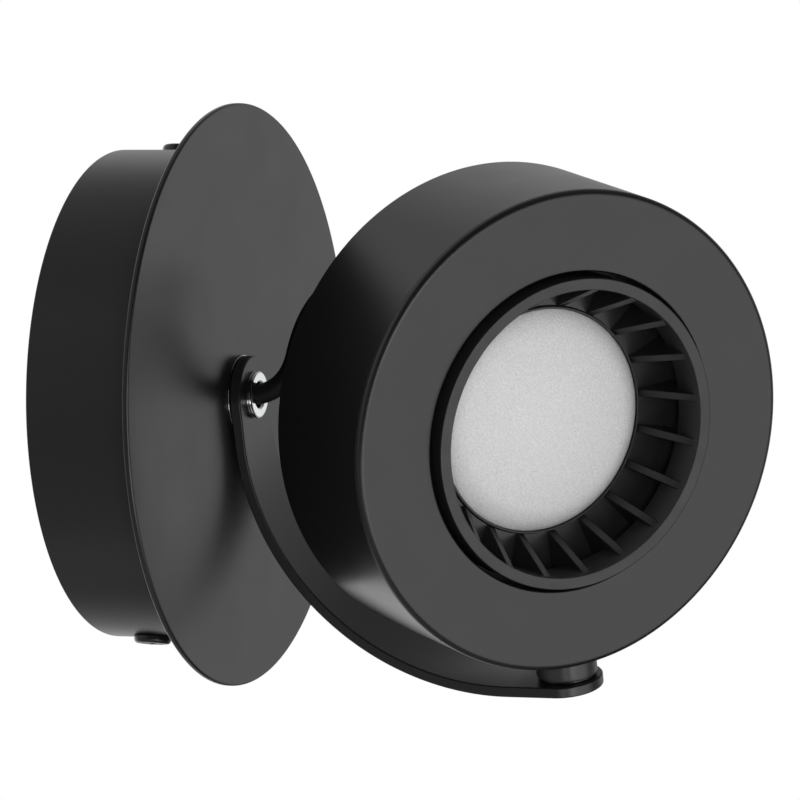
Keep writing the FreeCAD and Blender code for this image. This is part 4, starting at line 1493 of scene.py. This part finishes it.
@dataclass
class Studio:
    """The camera at the photograph's angle, soft lamps, a pale floor and a white surround."""

    camera_place: Triple = (-0.98362, -0.44505, 0.33103)
    camera_right: Triple = (0.3405, -0.9348, -0.1008)
    camera_up: Triple = (0.3150, 0.0124, 0.9490)
    focal_pixels: float = 6500.0
    image_width: float = 800.0
    sensor_width: float = 36.0
    camera_range: tuple[float, float] = (0.05, 30.0)
    lamp_aim: Triple = (0.01, -0.05, 0.0)
    lamps: tuple[tuple[str, Triple, float, float], ...] = (
        ("key", (-1.30, -0.73, 0.39), 0.5, 13.0),
        ("top", (0.2, -1.0, 1.4), 1.0, 3.0),
        ("rear", (0.5, 1.3, 0.6), 1.0, 7.0),
    )
    floor_half: float = 6.0
    floor_drop: float = 1.25
    floor_tone: float = 0.9
    floor_glow: float = 0.5
    floor_fade: tuple[float, float] = (0.75, 2.2)
    soft_light: float = 0.30
    panel_reach: float = 44.0
    panels: tuple[tuple[Triple, float], ...] = (
        ((-0.32, -0.93, -0.18), 1.90),
        ((0.43, 0.78, -0.46), 1.09),
        ((0.87, -0.38, -0.32), 0.44),
        ((0.87, 0.48, -0.11), 0.54),
        ((0.15, 0.98, 0.11), 0.48),
        ((-0.14, 0.72, 0.68), 0.43),
        ((0.58, 0.67, 0.46), 0.39),
        ((-0.65, 0.68, 0.32), 0.39),
        ((-0.66, 0.44, -0.61), 0.31),
        ((-0.26, 0.01, -0.96), 0.28),
        ((0.64, -0.47, 0.61), 0.13),
        ((0.55, 0.16, 0.82), 0.10),
        ((0.97, -0.06, 0.25), 0.09),
        ((-0.97, 0.24, -0.04), 0.07),
    )
    spot_reach: float = 12.0
    spots: tuple[tuple[Triple, float], ...] = (
        ((0.886, -0.355, -0.299), 0.38),
        ((-0.91, -0.22, -0.30), 3.00),
        ((-0.62, -0.77, 0.16), 5.00),
        ((-0.73, -0.62, -0.30), 4.50),
    )

    def camera(self) -> None:
        """The camera: its axes are right, up and their cross product, which points back."""
        right = unit(np.array(self.camera_right))
        up = np.array(self.camera_up)
        up = unit(up - right * (up @ right))
        matrix = np.eye(4)
        matrix[:3, :3] = np.stack([right, up, np.cross(right, up)], axis=1)
        matrix[:3, 3] = self.camera_place
        data = bpy.data.cameras.new("camera")
        data.sensor_width = self.sensor_width
        data.lens = self.focal_pixels * data.sensor_width / self.image_width
        data.clip_start, data.clip_end = self.camera_range
        camera = bpy.data.objects.new("camera", data)
        camera.matrix_world = Matrix(matrix.tolist())
        bpy.context.scene.collection.objects.link(camera)
        bpy.context.scene.camera = camera

    def lamp(self, name: str, place: Triple, size: float, power: float) -> None:
        """One soft square lamp aimed at the object's middle, which reflections don't show.

        Args:
            name: the lamp's name.
            place: where it stands, in metres.
            size: its width and height in metres.
            power: its power in watts.
        """
        data = bpy.data.lights.new(name, "AREA")
        data.shape = "RECTANGLE"
        data.size = data.size_y = size
        data.energy = power
        lamp = bpy.data.objects.new(name, data)
        lamp.location = place
        aim = Vector(self.lamp_aim) - lamp.location
        lamp.rotation_euler = aim.to_track_quat("-Z", "Y").to_euler()
        lamp.visible_glossy = False
        bpy.context.scene.collection.objects.link(lamp)

    def surround(self) -> None:
        """The world: grey to matt surfaces, a lit studio to reflections, white to the camera."""
        world = bpy.data.worlds.new("surround")
        nodes = Nodes(world)
        tone = (*grey(1.0), 1.0)
        soft, studio, white = (
            nodes.add("Background", "Background", {"Color": tone, "Strength": strength})
            for strength in (self.soft_light, self.reflected(nodes), 1.0))
        mirrored = nodes.mixed(nodes.rays("Glossy"), soft, studio)
        nodes.show("World", nodes.mixed(nodes.rays("Camera", "Transmission"), mirrored, white))
        bpy.context.scene.world = world

    def reflected(self, nodes: Nodes) -> Socket:
        """The studio's brightness by direction, as reflections show it.

        Each panel or spot adds its strength times a smooth step of the cosine of the angle between
        a direction and its own, from nothing at its reach to all of it at its middle.

        Args:
            nodes: the world's nodes.

        Returns:
            The strength's output.
        """
        place = nodes.add("TexCoord", "Generated")
        lights = [(*panel, self.panel_reach) for panel in self.panels]
        lights += [(*spot, self.spot_reach) for spot in self.spots]
        parts = []
        for towards, strength, reach in lights:
            values = {0: place, 1: unit(np.array(towards)).tolist()}
            cosine = nodes.add("VectorMath", "Value", values, "DOT_PRODUCT")
            edge = math.cos(math.radians(reach))
            parts.append(nodes.ranged(cosine, 0.0, strength, edge, 1.0, smooth=True))
        return nodes.combined("ADD", parts)

    def floor(self) -> None:
        """A wide pale floor far below, half matt under the object and melting into white."""
        half, z = self.floor_half, -self.floor_drop
        mesh = bpy.data.meshes.new("floor")
        mesh.from_pydata([(x, y, z) for x, y in band(-half, half, -half, half)], [],
                         [(0, 1, 2, 3)])
        floor = bpy.data.objects.new("floor", mesh)
        floor.visible_glossy = False
        bpy.context.scene.collection.objects.link(floor)
        nodes = Shader("pale_floor")
        tone = (*grey(self.floor_tone), 1.0)
        matt = nodes.add("BsdfDiffuse", "BSDF", {"Color": tone})
        glow = nodes.add("Emission", "Emission", {"Strength": 1.0})
        distance = nodes.add("VectorMath", "Value", {0: nodes.place}, "LENGTH")
        fade = nodes.ranged(distance, self.floor_glow, 1.0, *self.floor_fade, smooth=True)
        seen = nodes.rays("Camera", "Glossy", "Transmission")
        nodes.show("Material", nodes.mixed(nodes.combined("MULTIPLY", [fade, seen]), matt, glow))
        mesh.materials.append(nodes.owner)

    def build(self) -> None:
        """Set up the surround, the floor and the lamps."""
        self.surround()
        self.floor()
        for lamp in self.lamps:
            self.lamp(*lamp)
        bpy.context.scene.view_settings.view_transform = "Standard"
        LOG.info("studio: surround, floor and %d lamps are set", len(self.lamps))


def main() -> None:
    """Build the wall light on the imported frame, in order, and report each piece."""
    logging.basicConfig(level=logging.INFO, format="%(name)s: %(message)s")
    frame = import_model()
    shop, layout, studio = Workshop(frame), HeadLayout(), Studio()
    studio.camera()
    for assembly in (Lead(shop), Canopy(shop), Swivel(shop), Arm(shop), Drum(shop, layout),
                     LightModule(shop, layout), Grommet(shop, layout), Pivot(shop, layout)):
        LOG.info("building: %s", type(assembly).__name__)
        assembly.build()
    for finish, nodes in INNER_FINISHES:
        shop.dress(finish, *nodes)
    studio.build()


if __name__ == "__main__":
    main()
